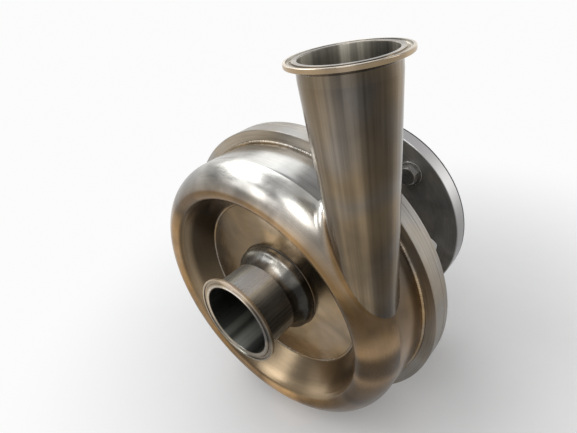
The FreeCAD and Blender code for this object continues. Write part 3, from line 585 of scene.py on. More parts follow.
# Painted highlight and shade on the ring, in bands round the shaft.
sheet_bands = ((17, 14, -0.55), (42, 14, -0.3), (64, 18, 0.5), (126, 20, -0.55), (-6, 8, -0.7),
               (-24, 12, -0.55), (-38, 12, -0.35), (-56, 14, -0.35), (-86, 16, 1.4), (-112, 18, -0.1),
               (158, 28, 0.4), (-170, 24, 0.1))
# Recess wall: its own darker tone with painted bands, and a painted highlight line along the shoulder.
recess = {"color": (0.19, 0.142, 0.090), "roughness": 0.24, "metal": 1.0,
          "bands": ((160, 50, -0.7), (35, 70, 0.8), (-132, 28, -0.4), (-72, 36, 0.6)),
          "painted_rings": ((shoulder[0] - 0.0016, 0.0040, 0.75),)}
# A painted highlight line runs along the outer edge of the shoulder.
polished_sheet = steel_material("polished_sheet", deep=(0.248, 0.152, 0.068), pale=(0.78, 0.765, 0.71),
                                painted_top_light=0.9, clouds=(20.0, 0.45), lines=(420.0, 420.0, 5.0, 0.07),
                                gloss=(0.21, 0.31), relief=0.03, bands=sheet_bands, waves=(22.0, 0.28),
                                bore=recess, painted_rings=((shoulder[0] + 0.0005, 0.0028, 0.6),), grey=0.2)


def cone_at(height, inset=0.0):
    """Radius of the discharge cone at a height above the shaft, less an inset."""
    return cone_skin - cone_narrowing * (cone_top - height) - inset


# The discharge way is cut from way_foot up to way_cover under the ferrule. It has its full width from
# way_full on, and at its foot it keeps way_clear from the shaft, so that the inner wall stays whole.
way_foot = 0.022
way_clear = 0.112
way_full = 0.045
way_cover = 0.02
way_steps = 160


def mesh_of(name, built):
    """Plain mesh of what was built up in bmesh."""
    mesh = bpy.data.meshes.new(name)
    built.to_mesh(mesh)
    built.free()
    return mesh


def cone_bored(piece):
    """Cuts the discharge bore out of a piece of the casing; low down it stays clear of the inner wall."""
    cutter = bmesh.new()
    rows = []
    for height, nearest in ((way_foot, way_clear), (way_full, 0.0), (cone_top - way_cover, 0.0)):
        reach = cone_at(height, cone_wall)
        rows.append([cutter.verts.new((max(nearest, cone_axis.x + reach * math.cos(turn)),
                                       cone_axis.y + reach * math.sin(turn), height))
                     for turn in round_turns(way_steps)])
    for row, above in zip(rows, rows[1:]):
        for i in range(way_steps):
            after = (i + 1) % way_steps
            cutter.faces.new((row[i], row[after], above[after], above[i]))
    cutter.faces.new(rows[0][::-1])
    cutter.faces.new(rows[-1])
    tool = placed("cone_cutter", mesh_of("cone_cutter", cutter))
    cut = piece.modifiers.new("bore", "BOOLEAN")
    cut.operation = "DIFFERENCE"
    cut.solver = "EXACT"
    cut.object = tool
    piece.data = made_plain(piece)
    bpy.data.objects.remove(tool)
    piece.data.set_sharp_from_angle(angle=sharp_corner)
    return piece


def seated(piece, body, finish_slot, *nodes):
    """Fixes a finished piece to its body and hides the construction nodes it stands for; finish_slot is not
    used.
    """
    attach(piece, body)
    if nodes:
        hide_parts(*nodes)
    return piece


ring = turned("volute_skin", ring_skin(0.0) + ring_skin(sheet)[::-1], polished_sheet, casing_steps)
seated(cone_bored(ring), "pump_head", "polished_stainless", "volute_ring")


# Casing barrel. The short straight wall behind the ring, butt welded to it and dressed flush, so that
# only a faint crease is left where the curve of the ring ends.
crease_depth = 0.0005
crease_width = 0.004
crease_steps = 6
barrel_steps = 8

barrel_outline = [(ring_radius - crease_depth * (1 - share) ** 2, barrel_low.y + crease_width * share)
                  for share in [i / crease_steps for i in range(crease_steps + 1)]]
barrel_outline += run((ring_radius, barrel_low.y + crease_width), (ring_radius, barrel_high.y),
                      barrel_steps)[1:]
barrel_outline += [(ring_radius, barrel_high.y), (ring_radius - sheet, barrel_high.y),
                   (ring_radius - sheet, barrel_low.y)]
# Painted highlight and shade on the barrel, in bands round the shaft.
barrel_finish = steel_material("polished_barrel", deep=(0.225, 0.140, 0.064), pale=(0.50, 0.49, 0.46),
                               painted_top_light=0.9, clouds=(22.0, 0.30), lines=(420.0, 420.0, 5.0, 0.12),
                               gloss=(0.18, 0.28), relief=0.04, waves=(22.0, 0.22), grey=0.4,
                               bands=((25, 26, -0.5), (-60, 30, -0.3), (-9, 10, 0.45), (70, 18, 0.15)))
barrel = turned("barrel_wall", barrel_outline, barrel_finish, casing_steps)
seated(cone_bored(barrel), "pump_head", "polished_stainless", "casing_barrel")


# Front plate. A flat disc at the bottom of the recess, its rim bevelled to the slope of the ring's inner
# wall. It is polished by hand, so broad soft dents and clouds show in its reflections; highlights and shade
# are also painted on in bands round the shaft.
def dress(finish, *names):
    """Gives nodes of the construction their finish."""
    for name in names:
        mesh = frame["nodes"][name].data
        mesh.materials.clear()
        mesh.materials.append(finish)


# Painted highlight and shade on the plate, in bands round the shaft.
plate_finish = steel_material("hand_polished_plate", deep=(0.23, 0.160, 0.086), pale=(0.58, 0.56, 0.50),
                              painted_top_light=0.7, clouds=(24.0, 0.35), lines=(300.0, 300.0, 6.0, 0.08),
                              gloss=(0.19, 0.28), relief=0.02, waves=(26.0, 0.25), grey=0.3,
                              bands=((-80, 36, 0.7), (-43, 24, 0.6), (-5, 18, 0.6), (34, 16, -0.3),
                                     (70, 28, 1.5), (135, 40, -0.35)))
dress(plate_finish, "front_plate")


# Suction port. A three inch clamp ferrule on a short straight tube, welded to a flared base that
# spreads onto the front plate. Turned from bar and polished bright, with its gasket groove in the face.
suction_low, suction_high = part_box("suction_ferrule")
base_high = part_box("suction_base")[1]
suction_bore = mounts["suction_bore"]["dims"]["r_mm"] / 1000
suction_tube = 0.0381
rim_thickness = 0.00285
rim_back_angle = math.radians(20.0)
rim_edge = 0.00057
neck_bend = 0.0015
groove_inset = 0.0036
groove_bow = 0.0016
groove_steps = 10
base_land = 0.008
land_ease = 0.0035
ease_steps = 8
flare_steps = 24
flare_steps_eased = 5


def softened(corners, steps=4):
    """Outline whose corners (radius, y, bend) are rounded by their bend, or sharp where it is 0."""
    points = []
    for i in range(len(corners)):
        here = Vector(corners[i][:2])
        bend = corners[i][2]
        if bend == 0:
            points.append(tuple(here))
            continue
        before = (Vector(corners[i - 1][:2]) - here).normalized()
        after = (Vector(corners[(i + 1) % len(corners)][:2]) - here).normalized()
        half = math.acos(max(-1.0, min(1.0, before.dot(after)))) / 2
        middle = here + (before + after).normalized() * (bend / math.sin(half))
        start = here + before * (bend / math.tan(half)) - middle
        end = here + after * (bend / math.tan(half)) - middle
        for k in range(steps + 1):
            way = start.lerp(end, k / steps).normalized() * bend
            points.append(tuple(middle + way))
    return points


def ferrule_outline(bore, tube, rim, face, length):
    """Clamp ferrule as an outline: grooved face, rounded rim, tapered back and short tube."""
    back = face + rim_thickness
    taper = (rim - tube) * math.tan(rim_back_angle)
    groove = rim - groove_inset
    grooved = bow((groove, face), groove_bow, math.pi, 0.0, groove_steps)
    front = softened([(bore, face + length, 0), (bore, face, rim_edge), grooved[0] + (0,)])[:-1]
    rest = softened([grooved[-1] + (0,), (rim, face, rim_edge), (rim, back, rim_edge),
                     (tube, back + taper, neck_bend), (tube, face + length, 0), (bore, face + length, 0)])
    return front + grooved + rest[1:-1]


def base_outline():
    """Flared base: an arc that leaves the tube in line with it, eased over into its straight land."""
    land = base_high.y - base_land
    flare = base_high.x - suction_tube
    reach = land - suction_high.y
    bend = (flare ** 2 + reach ** 2) / (2 * flare)
    turn = math.asin(reach / bend)
    arc = bow((suction_tube + bend, suction_high.y), bend, math.pi, math.pi - turn, flare_steps)
    arc = arc[:-flare_steps_eased]
    corner = (base_high.x, land)
    after = (base_high.x, land + land_ease)
    eased = [tuple((1 - s) ** 2 * arc[-1][k] + 2 * s * (1 - s) * corner[k] + s ** 2 * after[k]
                   for k in (0, 1)) for s in [i / ease_steps for i in range(1, ease_steps + 1)]]
    return [(suction_bore, suction_high.y)] + arc + eased + [(base_high.x, base_high.y),
                                                            (suction_bore, base_high.y)]


# Painted highlight and shade inside the suction bore, in bands round it.
suction_inside = {"color": (0.18, 0.18, 0.16), "roughness": 0.26, "metal": 0.7, "painted_rings": (),
                  "bands": ((-102, 18, 3.0), (-130, 8, 1.4), (-62, 20, -0.7), (170, 60, -0.8))}
# Painted highlight along the top of the tube and painted shade down its sides, in bands round the shaft; a
# faint painted highlight ring at the rim's outer edge.
turned_bright = steel_material("turned_bright", deep=(0.60, 0.565, 0.47), pale=(0.62, 0.60, 0.53),
                               painted_top_light=0.5, clouds=(26.0, 0.2), lines=(0.0, 5.0, 14.0, 0.13),
                               gloss=(0.22, 0.32), relief=0.03, metal=0.5, grey=0.2,
                               bands=((78, 26, 1.3), (22, 36, -0.85), (-22, 40, -0.6), (-80, 42, -0.6),
                                      (-140, 24, -0.5), (172, 28, 0.2)),
                               bore=suction_inside, painted_rings=((suction_high.x, 0.0012, 0.3),),
                               face=(suction_tube, (0.74, 0.60, 0.46)))
suction_outline = ferrule_outline(suction_bore, suction_tube, suction_high.x, suction_low.y,
                                  suction_high.y - suction_low.y)
suction_port = turned("suction_ferrule_bright", suction_outline, turned_bright)
seated(suction_port, "pump_head", "turned_stainless", "suction_ferrule")
# Painted highlights on the upper side of the base and painted shade on its right and lower side, in bands
# round the shaft.
base_finish = steel_material("flared_base_polish", deep=(0.22, 0.195, 0.145), pale=(0.36, 0.345, 0.30),
                             painted_top_light=0.5, clouds=(60.0, 0.45), lines=(0.0, 5.0, 14.0, 0.12),
                             gloss=(0.22, 0.30), relief=0.03, waves=(60.0, 0.55), metal=0.7,
                             bands=((88, 20, 0.2), (63, 15, 1.6), (118, 20, 0.2), (34, 22, -0.4),
                                    (4, 36, -0.85), (-44, 40, -0.7)))
suction_flare = turned("suction_flare", base_outline(), base_finish)
seated(suction_flare, "pump_head", "turned_stainless", "suction_base")


# Discharge nozzle. A cone rolled from sheet that runs down tangentially into the ring; it is brushed
# lengthwise, so fine lines run from its foot to the ferrule, and broader light and dark streaks are painted
# on as reflections in bands round its axis.
# Painted light and shade inside the cone, in bands round its axis.
upright_inside = {"color": (0.44, 0.415, 0.355), "roughness": 0.32, "metal": 0.6, "painted_rings": (),
                  "bands": ((129, 8, 1.0), (156, 24, -0.5), (192, 14, 0.5), (80, 28, -0.65), (110, 5, 0.35))}
# Brushed lines, and painted reflections as bands round the cone's axis.
upright_brushing_and_painted_light = {"lines": (0.0, 6.0, 10.0, 0.32), "gloss": (0.16, 0.25), "relief": 0.03,
                    "clouds": (20.0, 0.3), "waves": (16.0, 0.15), "bore": upright_inside,
                    "centre": (cone_axis.x, cone_axis.y, 0.0), "turn": (0.0, 0.0, 0.0),
                    "bands": ((-104, 34, 0.12), (-138, 12, 0.5), (-57, 9, 0.35), (-31, 28, -0.52),
                              (14, 22, 0.45), (75, 30, -0.35), (120, 26, 0.4), (170, 26, -0.3),
                              (-84, 12, 0.45))}
cone_finish = steel_material("brushed_cone", deep=(0.136, 0.102, 0.064), pale=(0.50, 0.47, 0.42),
                             painted_top_light=0.35, grey=0.75, **upright_brushing_and_painted_light)
dress(cone_finish, "discharge_nozzle")


# Discharge ferrule. A two and a half inch clamp ferrule, turned like the suction one and welded to the
# top of the cone with a short straight neck.
port_low, port_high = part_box("discharge_ferrule")
port_rim = (port_high.x - port_low.x) / 2
# A painted highlight ring brightens the rim of the ferrule.
discharge_turned = steel_material("turned_bright_upright", deep=(0.145, 0.112, 0.074),
                                  pale=(0.50, 0.47, 0.42), painted_top_light=0.5, painted_rings=((port_rim, 0.0058, 1.3),),
                                  face=(cone_skin, (1.0, 0.95, 0.88)), **upright_brushing_and_painted_light)
discharge_outline = ferrule_outline(cone_bore, cone_skin, port_rim, 0.0, port_high.z - port_low.z)
discharge_port = turned("discharge_ferrule_bright", discharge_outline, discharge_turned)
upright = Matrix.Translation((cone_axis.x, cone_axis.y, port_high.z)) @ Matrix.Rotation(-math.pi / 2, 4, "X")
discharge_port.data.transform(upright)
seated(discharge_port, "pump_head", "turned_stainless", "discharge_ferrule")


# Welds. Fillet beads laid by hand in the corners of the casing and the adapter, with the fine ripples of
# the welding arc. The seam round the foot of the discharge cone is ground and polished to a hollow fillet.
bead = 0.0019
bead_seat = 0.0004
foot_fillet = 0.008
foot_sink = 0.0008
foot_lowest = -0.01
foot_highest = cone_top - 0.02
foot_halvings = 30
ripple_pitch = 0.0021
ripple_depth = 0.16
ripple_steps = 4
ripple_seed = 7
flange_low, flange_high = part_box("casing_flange")
neck_low, neck_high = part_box("adapter_neck")
# The bead round the flared base is darkened by a painted shade ring.
weld_finish = steel_material("weld_bright", deep=(0.27, 0.19, 0.105), pale=(0.60, 0.56, 0.48), painted_top_light=0.7,
                             clouds=(60.0, 0.3), lines=(500.0, 500.0, 40.0, 0.2), gloss=(0.18, 0.30),
                             relief=0.1, painted_rings=((base_high.x, 0.004, -0.75),))


def bead_tree():
    """Geometry nodes that lay a rippled round bead along a closed path."""
    tree, given, result = group_of("weld_bead", "GeometryNodeTree",
                                   {"Path": "Geometry", "Bead Radius": "Float", "Ripples": "Int",
                                    "Ripple Depth": "Float", "Steps Each": "Int", "Seed": "Int",
                                    "Finish": "Material"}, {"Bead": "Geometry"})
    path = node_of(tree, "GeometryNodeMeshToCurve", {"Mesh": given["Path"]})
    count = math_of(tree, "MULTIPLY", given["Ripples"], given["Steps Each"])
    even = node_of(tree, "GeometryNodeResampleCurve", {"Curve": path.outputs["Curve"], "Count": count})
    along = node_of(tree, "GeometryNodeSplineParameter").outputs["Factor"]
    phase = math_of(tree, "MULTIPLY", math_of(tree, "MULTIPLY", along, given["Ripples"]), math.pi)
    arch = math_of(tree, "ABSOLUTE", math_of(tree, "SINE", phase))
    uneven = node_of(tree, "FunctionNodeRandomValue", {"Min": 0.93, "Max": 1.05, "Seed": given["Seed"]},
                     data_type="FLOAT")
    swell = math_of(tree, "MULTIPLY_ADD", arch, given["Ripple Depth"], uneven.outputs["Value"])
    section = node_of(tree, "GeometryNodeCurvePrimitiveCircle", {"Resolution": 10})
    sweep = node_of(tree, "GeometryNodeCurveToMesh",
                    {"Curve": even.outputs["Curve"], "Profile Curve": section.outputs["Curve"],
                     "Scale": math_of(tree, "MULTIPLY", swell, given["Bead Radius"])})
    smooth = node_of(tree, "GeometryNodeSetShadeSmooth", {"Geometry": sweep.outputs["Mesh"]})
    finished(tree, smooth.outputs["Geometry"], given["Finish"], result)
    return tree


def ring_path(radius, station, steps=180):
    """Points of a circle about the shaft at a station along it."""
    return [(radius * math.cos(turn), station, radius * math.sin(turn)) for turn in round_turns(steps)]


def skin_depth(point, outline):
    """How far a point lies outside the turned skin: positive outside, negative inside the casing."""
    radius = math.hypot(point.x, point.z)
    if point.y >= outline[-1][1] or radius >= outline[-1][0]:
        return radius - outline[-1][0]
    best = None
    for start, end in zip(outline, outline[1:]):
        low, high = sorted((start[0], end[0]))
        if low <= radius <= high and high > low:
            share = (radius - start[0]) / (end[0] - start[0])
            station = start[1] + (end[1] - start[1]) * share
            best = station if best is None else min(best, station)
    return -1.0 if best is None else best - point.y


def cone_foot_path(inset, steps=240):
    """Points as deep under the skin of the cone as under the skin of the ring, found by halving."""
    outline = ring_skin(inset)
    path = []
    for turn in round_turns(steps):
        low, high = foot_lowest, foot_highest
        for _ in range(foot_halvings):
            middle = (low + high) / 2
            radius = cone_at(middle, inset)
            point = Vector((cone_axis.x + radius * math.cos(turn), cone_axis.y + radius * math.sin(turn),
                            middle))
            if skin_depth(point, outline) > 0:
                high = middle
            else:
                low = middle
        path.append(point)
    return path


def nearest_on_skin(point, outline):
    """Nearest point of the turned skin to a point outside it."""
    radius = math.hypot(point.x, point.z)
    here = Vector((radius, point.y))
    spot = Vector((outline[-1][0], max(point.y, outline[-1][1])))
    for start, end in zip(outline, outline[1:]):
        start, end = Vector(start), Vector(end)
        share = max(0.0, min(1.0, (here - start).dot(end - start) / (end - start).length_squared))
        near = start.lerp(end, share)
        if (near - here).length < (spot - here).length:
            spot = near
    return Vector((point.x * spot.x / radius, spot.y, point.z * spot.x / radius))


def rolled_fillet(name, finish, radius, sink, arc_steps=8):
    """Hollow fillet, as a ball rolled round the foot of the cone would leave it, closed inside the metal."""
    outline = ring_skin(0.0)
    fillet = bmesh.new()
    rows = []
    for centre, corner in zip(cone_foot_path(-radius), cone_foot_path(sink)):
        to_cone = Vector((cone_axis.x - centre.x, cone_axis.y - centre.y, 0.0)).normalized()
        to_ring = (nearest_on_skin(centre, outline) - centre).normalized()
        arc = [centre + to_cone.slerp(to_ring, i / arc_steps) * radius for i in range(arc_steps + 1)]
        rows.append([fillet.verts.new(spot) for spot in [*arc, corner]])
    for row, ahead in zip(rows, rows[1:] + rows[:1]):
        for i in range(len(row)):
            after = (i + 1) % len(row)
            fillet.faces.new((row[i], row[after], ahead[after], ahead[i])).smooth = True
    bmesh.ops.recalc_face_normals(fillet, faces=fillet.faces)
    mesh = mesh_of(name, fillet)
    mesh.materials.append(finish)
    mesh.set_sharp_from_angle(angle=sharp_corner)
    return placed(name, mesh)


beading = bead_tree()


def laid_bead(name, points, radius):
    """One bead along a closed run of points."""
    base = bpy.data.meshes.new(name + "_path")
    base.from_pydata(points, [(i, (i + 1) % len(points)) for i in range(len(points))], [])
    length = sum((Vector(points[i]) - Vector(points[i - 1])).length for i in range(len(points)))
    return grown(name, base, beading, {"Bead Radius": radius, "Ripples": round(length / ripple_pitch),
                                       "Ripple Depth": ripple_depth, "Steps Each": ripple_steps,
                                       "Seed": ripple_seed, "Finish": weld_finish})


welds = bmesh.new()
for name, radius, station, share in (
        ("plate_bead", plate_high.x - 0.0006, plate_low.y + 0.0006, 0.8),
        ("base_bead", base_high.x + 0.0002, plate_low.y + 0.0001, 0.55),
        ("flange_bead", ring_radius + 0.0004, flange_low.y - 0.0002, 1.0),
        ("neck_front_bead", neck_high.x + bead_seat, neck_low.y + bead_seat, 1.0),
        ("neck_back_bead", neck_high.x + bead_seat, neck_high.y - bead_seat, 1.0)):
    laid = laid_bead(name, ring_path(radius, station), bead * share)
    welds.from_mesh(laid.data)
    bpy.data.objects.remove(laid)
weld_seams = placed("weld_seams", mesh_of("weld_seams", welds))
weld_seams.data.materials.append(weld_finish)
seated(weld_seams, "pump_head", "weld_stainless", "weld_beads")
cone_seam = rolled_fillet("cone_foot_seam", polished_sheet, foot_fillet, foot_sink)
seated(cone_seam, "pump_head", "weld_stainless")


# Casing flange and back plate. Two turned discs face to face with a thin dark seam between them, their rims
# brushed round the shaft to a pale grey, with painted shade on the +X side and below it.
# Painted shade on the rims, in bands round the shaft.
rim_finish = steel_material("brushed_rim", deep=(0.38, 0.32, 0.245), pale=(0.40, 0.37, 0.33), painted_top_light=0.8,
                            clouds=(24.0, 0.15), lines=(1100.0, 1100.0, 3.0, 0.3), gloss=(0.28, 0.40),
                            relief=0.12, bands=((0, 26, -0.4), (-35, 34, -0.3), (-70, 30, -0.3)))
dress(rim_finish, "casing_flange", "back_plate")


# Screws. Stainless hex screws hold the back plate to the casing flange and the adapter to the back
# plate, and four larger bolts with washers hold the pump on its motor. Forged heads, rolled threads.
head_columns = 48
head_crown = 0.95
crown_slope = math.tan(math.radians(30.0))
under_chamfer = 0.04
thread_rows = 6
thread_share = 0.6
screw_corner = math.radians(28.0)
shank_relief = 0.00065
screw_flats = 0.013
screw_head = 0.0053
screw_radius = 0.004
screw_pitch = 0.00125
casing_screw_count = 8
casing_screw_circle = 0.144
casing_screw_start = math.radians(22.5)
adapter_screw_count = 6
adapter_screw_circle = 0.0745
back_rim_thickness = 0.0075
bolt_flats = 0.01905
bolt_pitch = 0.00195
bolt_start = math.radians(45.0)
thread_in_flange = 0.0065
bolt_low, bolt_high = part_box("motor_bolts")
motor_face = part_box("motor_flange")[1]
bolt_count = 4
bolt_circle_radius = mounts["motor_flange"]["dims"]["pcd_mm"] / 2000
bolt_radius = mounts["motor_flange"]["dims"]["stud_r_mm"] / 1000
washer_low, washer_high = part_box("motor_bolt_washers")
washer_radius = 0.0135
washer_gap = 0.0001
washer_inner_edge = 0.0002
washer_outer_edge = 0.0004
washer_steps = 56
most_screw_turn = 0.9
screw_seed = 11
screw_finish = steel_material("screw_steel", deep=(0.34, 0.315, 0.28), pale=(0.66, 0.64, 0.60), painted_top_light=0.9,
                              clouds=(90.0, 0.12), lines=(300.0, 300.0, 8.0, 0.05), gloss=(0.20, 0.28),
                              relief=0.02, metal=0.85)


def hex_screw(name, flats, head, shank, length, pitch, plain):
    """Hex screw along Y: head below 0, shank to length, with a helical thread past its plain part."""
    turns = round_turns(head_columns)

    def level(reach, station):
        """A row of points at one radius and station."""
        return [reach] * head_columns, [station] * head_columns

    corner = [flats / 2 / math.cos(turn % (math.pi / 3) - math.pi / 6) for turn in turns]
    crown = flats / 2 * head_crown
    lowered = [-head + (reach - crown) * crown_slope for reach in corner]
    under = head * under_chamfer
    thin = shank - (shank_relief if plain > 0 else 0.0)
    rows = [level(crown, -head), (corner, lowered), (corner, [-under] * head_columns),
            ([reach - under for reach in corner], [0.0] * head_columns), level(thin, 0.0)]
    if plain > 0:
        rows.append(level(thin, plain))
    depth = pitch * thread_share
    end = length - depth
    count = int((end - plain) / pitch * thread_rows)
    for row in range(count + 1):
        y = plain + (end - plain) * row / count
        fade = min(1.0, row / thread_rows)
        waves = [abs(2 * ((y / pitch - turn / (2 * math.pi)) % 1.0) - 1) for turn in turns]
        rows.append(([shank - depth * fade * (1 - wave) for wave in waves], [y] * head_columns))
    rows.append(level(shank - depth, length))
    points = [(0.0, -head, 0.0)]
    for reach, stations in rows:
        points += [(r * math.cos(t), y, r * math.sin(t)) for r, y, t in zip(reach, stations, turns)]
    points.append((0.0, length, 0.0))
    faces = round_faces(len(rows), head_columns)
    last = 1 + (len(rows) - 1) * head_columns
    faces += [(last + i, len(points) - 1, last + (i + 1) % head_columns) for i in range(head_columns)]
    mesh = bpy.data.meshes.new(name)
    mesh.from_pydata(points, [], faces)
    mesh.polygons.foreach_set("use_smooth", [True] * len(mesh.polygons))
    mesh.set_sharp_from_angle(angle=screw_corner)
    return mesh


def bolt_circle_tree():
    """Geometry nodes that set copies of a screw on a circle about the shaft, each turned at random."""
    tree, given, result = group_of("bolt_circle", "GeometryNodeTree",
                                   {"Screw": "Geometry", "Count": "Int", "Circle Radius": "Float",
                                    "Start": "Vector", "Stand": "Vector", "Station": "Vector",
                                    "Most Turn": "Float", "Seed": "Int", "Finish": "Material"},
                                   {"Set": "Geometry"})
    places = node_of(tree, "GeometryNodeMeshCircle",
                     {"Vertices": given["Count"], "Radius": given["Circle Radius"]})
    started = node_of(tree, "GeometryNodeTransform",
                      {"Geometry": places.outputs["Mesh"], "Rotation": given["Start"]})
    spun = node_of(tree, "FunctionNodeRandomValue",
                   {"Min": 0.0, "Max": given["Most Turn"], "Seed": given["Seed"]}, data_type="FLOAT")
    spin = node_of(tree, "ShaderNodeCombineXYZ", {"Z": spun.outputs["Value"]})
    copies = node_of(tree, "GeometryNodeInstanceOnPoints",
                     {"Points": started.outputs["Geometry"], "Instance": given["Screw"],
                      "Rotation": spin.outputs[0]})
    stood = node_of(tree, "GeometryNodeTransform",
                    {"Geometry": copies.outputs["Instances"], "Rotation": given["Stand"],
                     "Translation": given["Station"]})
    finished(tree, stood.outputs["Geometry"], given["Finish"], result)
    return tree


bolt_circle = bolt_circle_tree()


def on_circle(name, mesh, count, radius, start, station, backward=False):
    """Set of like fasteners about the shaft; backward ones have their shanks along -Y."""
    if backward:
        mesh.transform(Matrix.Rotation(math.pi, 4, "X"))
    mesh.transform(Matrix.Rotation(-math.pi / 2, 4, "X"))
    return grown(name, mesh, bolt_circle,
                 {"Count": count, "Circle Radius": radius, "Start": (0.0, 0.0, -start),
                  "Stand": (math.pi / 2, 0.0, 0.0), "Station": (0.0, station, 0.0),
                  "Most Turn": most_screw_turn, "Seed": screw_seed, "Finish": screw_finish})


for kind, count, circle, start, station in (
        ("casing_screw", casing_screw_count, casing_screw_circle, casing_screw_start,
         flange_high.y + back_rim_thickness),
        ("adapter_screw", adapter_screw_count, adapter_screw_circle, 0.0, neck_low.y)):
    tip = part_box(kind + "s")[0].y
    screw = hex_screw(kind, screw_flats, screw_head, screw_radius, station - tip, screw_pitch, 0.0)
    screw_set = on_circle(kind + "_set", screw, count, circle, start, station, backward=True)
    seated(screw_set, "pump_head", "screw_stainless", kind + "s")

bolt = hex_screw("motor_bolt", bolt_flats, washer_low.y - bolt_low.y, bolt_radius,
                 bolt_high.y - washer_low.y, bolt_pitch, motor_face.y - thread_in_flange - washer_low.y)
bolt_set = on_circle("motor_bolt_set", bolt, bolt_count, bolt_circle_radius, bolt_start, washer_low.y)
seated(bolt_set, "pump_head", "screw_stainless", "motor_bolts")
washer_bore = bolt_radius + washer_gap
washer_height = washer_high.y - washer_low.y
washer_outline = softened([(washer_bore, 0.0, washer_inner_edge), (washer_radius, 0.0, washer_outer_edge),
                           (washer_radius, washer_height, washer_outer_edge),
                           (washer_bore, washer_height, washer_inner_edge)], steps=3)
washer = turned("washer", washer_outline, screw_finish, washer_steps)
washer_set = on_circle("washer_set", washer.data.copy(), bolt_count, bolt_circle_radius, bolt_start,
                       washer_low.y)
bpy.data.objects.remove(washer)
seated(washer_set, "pump_head", "screw_stainless", "motor_bolt_washers")


# Adapter. Front ring, neck with two windows and motor flange, turned from one grey satin steel; only
# the rim of the motor flange is brushed bright. It carries the pump on the face of its motor.
satin_dark = (0.225, 0.205, 0.172)
satin_pale = (0.30, 0.29, 0.265)
satin_metal = 0.45
bright_rim_color = (0.82, 0.80, 0.79, 1.0)
bright_rim_roughness = 0.3
# Painted shade on the bright rim, in bands round the shaft.
rim_bands = ((-4, 34, -0.7), (100, 30, -0.2))
rim_depth = 0.0006


def satin_material(name, rim_radius=None):
    """Satin steel with a turned grain; a rim past rim_radius is brushed bright, with painted shade in bands
    round it.
    """
    material = steel_material(name, deep=satin_dark, pale=satin_pale, painted_top_light=0.6, clouds=(40.0, 0.25),
                              lines=(600.0, 600.0, 4.0, 0.2), gloss=(0.38, 0.52), relief=0.12,
                              metal=satin_metal)
    if rim_radius:
        tree = material.node_tree
        shader = tree.nodes["Principled BSDF"].inputs
        place = node_of(tree, "ShaderNodeTexCoord").outputs["Object"]
        stood = node_of(tree, "ShaderNodeMapping", {"Vector": place, "Rotation": shaft_turn}).outputs[0]
        reach = vector_of(tree, "LENGTH", flat_of(tree, stood))
        mask = value_range(tree, reach, rim_radius - rim_depth, rim_radius - rim_depth / 2, 0.0, 1.0)
        body_color = shader["Base Color"].links[0].from_socket
        body_gloss = shader["Roughness"].links[0].from_socket
        color = mixed(tree, mask, body_color, bright_rim_color, "RGBA", painted_light_gain(tree, stood, rim_bands))
        tree.links.new(color, shader["Base Color"])
        tree.links.new(mixed(tree, mask, body_gloss, bright_rim_roughness, "FLOAT"), shader["Roughness"])
        tree.links.new(value_range(tree, mask, 0.0, 1.0, satin_metal, 1.0), shader["Metallic"])
    return material


dress(satin_material("satin_steel"), "adapter_front_ring", "adapter_neck")
dress(satin_material("satin_flange", motor_face.x), "motor_flange")


# Rubber pieces. The flange gasket, the moulded slinger on the shaft and the sealing rings, all of black
# rubber with a fine moulded grain and greyer patches of dust.
rubber_black = (0.010, 0.010, 0.011, 1.0)
rubber_dusty = (0.030, 0.029, 0.028, 1.0)
rubber_grain = 900.0
dust_size = 60.0


def rubber_material(name):
    """Black moulded rubber with patches of dust."""
    material, tree, shader = plain_material(name)
    place = node_of(tree, "ShaderNodeTexCoord").outputs["Object"]
    fine = noise_of(tree, place, rubber_grain, 4.0)
    mask = value_range(tree, noise_of(tree, place, dust_size, 3.0), 0.45, 0.75, 0.0, 1.0, smooth=True)
    feed(tree, shader, mixed(tree, mask, rubber_black, rubber_dusty, "RGBA"),
         value_range(tree, fine, 0.3, 0.7, 0.5, 0.75),
         {"Strength": 0.2, "Distance": 0.0001, "Height": fine})
    return material


dress(rubber_material("gasket_rubber"), "motor_gasket", "slinger", "casing_seal_ring",
      "hub_seal_ring", "nut_seal_ring", "seat_seal_ring", "face_seal_ring")


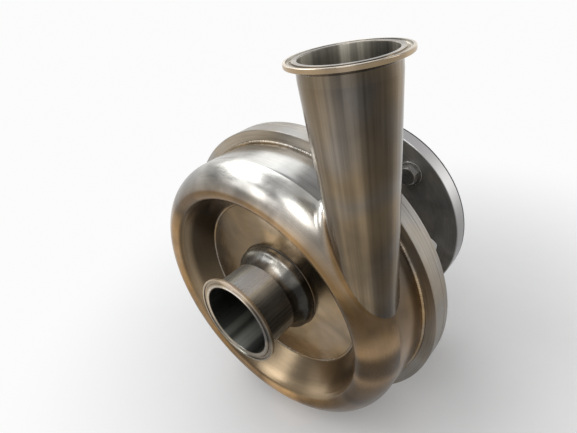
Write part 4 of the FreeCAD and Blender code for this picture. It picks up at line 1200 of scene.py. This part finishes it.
# Rotor. The shaft, its clamp collar, the key and the impeller with its nut: the impeller is cast and
# then polished, the rest is turned and ground.
ground_steel = steel_material("ground_steel", deep=(0.34, 0.32, 0.29), pale=(0.66, 0.65, 0.62), painted_top_light=0.7,
                              clouds=(40.0, 0.15), lines=(1500.0, 1500.0, 2.0, 0.25), gloss=(0.16, 0.26),
                              relief=0.08)
cast_polish = steel_material("cast_polish", deep=(0.32, 0.29, 0.25), pale=(0.56, 0.54, 0.50), painted_top_light=0.6,
                             clouds=(40.0, 0.18), lines=(260.0, 260.0, 6.0, 0.08), gloss=(0.26, 0.36),
                             relief=0.05, waves=(70.0, 0.06), metal=0.85)
dress(ground_steel, "stub_shaft", "impeller_key", "impeller_nut", "drive_collar", "collar_set_screws",
      "shaft_clamp", "shaft_clamp_screw", "seal_cup")
dress(cast_polish, "impeller")


# Shaft seal. A carbon ring turns with the shaft and is pressed by a steel spring on the fixed ceramic
# seat; both faces are lapped, so the seat is glossy and the carbon has a dull grey sheen.
speck_size = 1400.0


def seal_material(name, dark, grey, gloss):
    """Dense black seal material with fine specks."""
    material, tree, shader = plain_material(name)
    place = node_of(tree, "ShaderNodeTexCoord").outputs["Object"]
    specks = noise_of(tree, place, speck_size, 3.0)
    mask = value_range(tree, specks, 0.55, 0.7, 0.0, 1.0)
    feed(tree, shader, mixed(tree, mask, (*dark, 1.0), (*grey, 1.0), "RGBA"),
         value_range(tree, specks, 0.3, 0.7, *gloss),
         {"Strength": 0.1, "Distance": 0.00005, "Height": specks})
    return material


dress(seal_material("lapped_ceramic", (0.045, 0.046, 0.05), (0.09, 0.09, 0.095), (0.16, 0.26)), "seal_seat")
dress(seal_material("lapped_carbon", (0.016, 0.016, 0.017), (0.05, 0.05, 0.052), (0.32, 0.46)),
      "seal_face_ring")
dress(steel_material("spring_wire", deep=(0.38, 0.36, 0.33), pale=(0.6, 0.59, 0.57), painted_top_light=0.5,
                     clouds=(90.0, 0.2), lines=(200.0, 200.0, 60.0, 0.15), gloss=(0.2, 0.3), relief=0.05),
      "seal_spring")
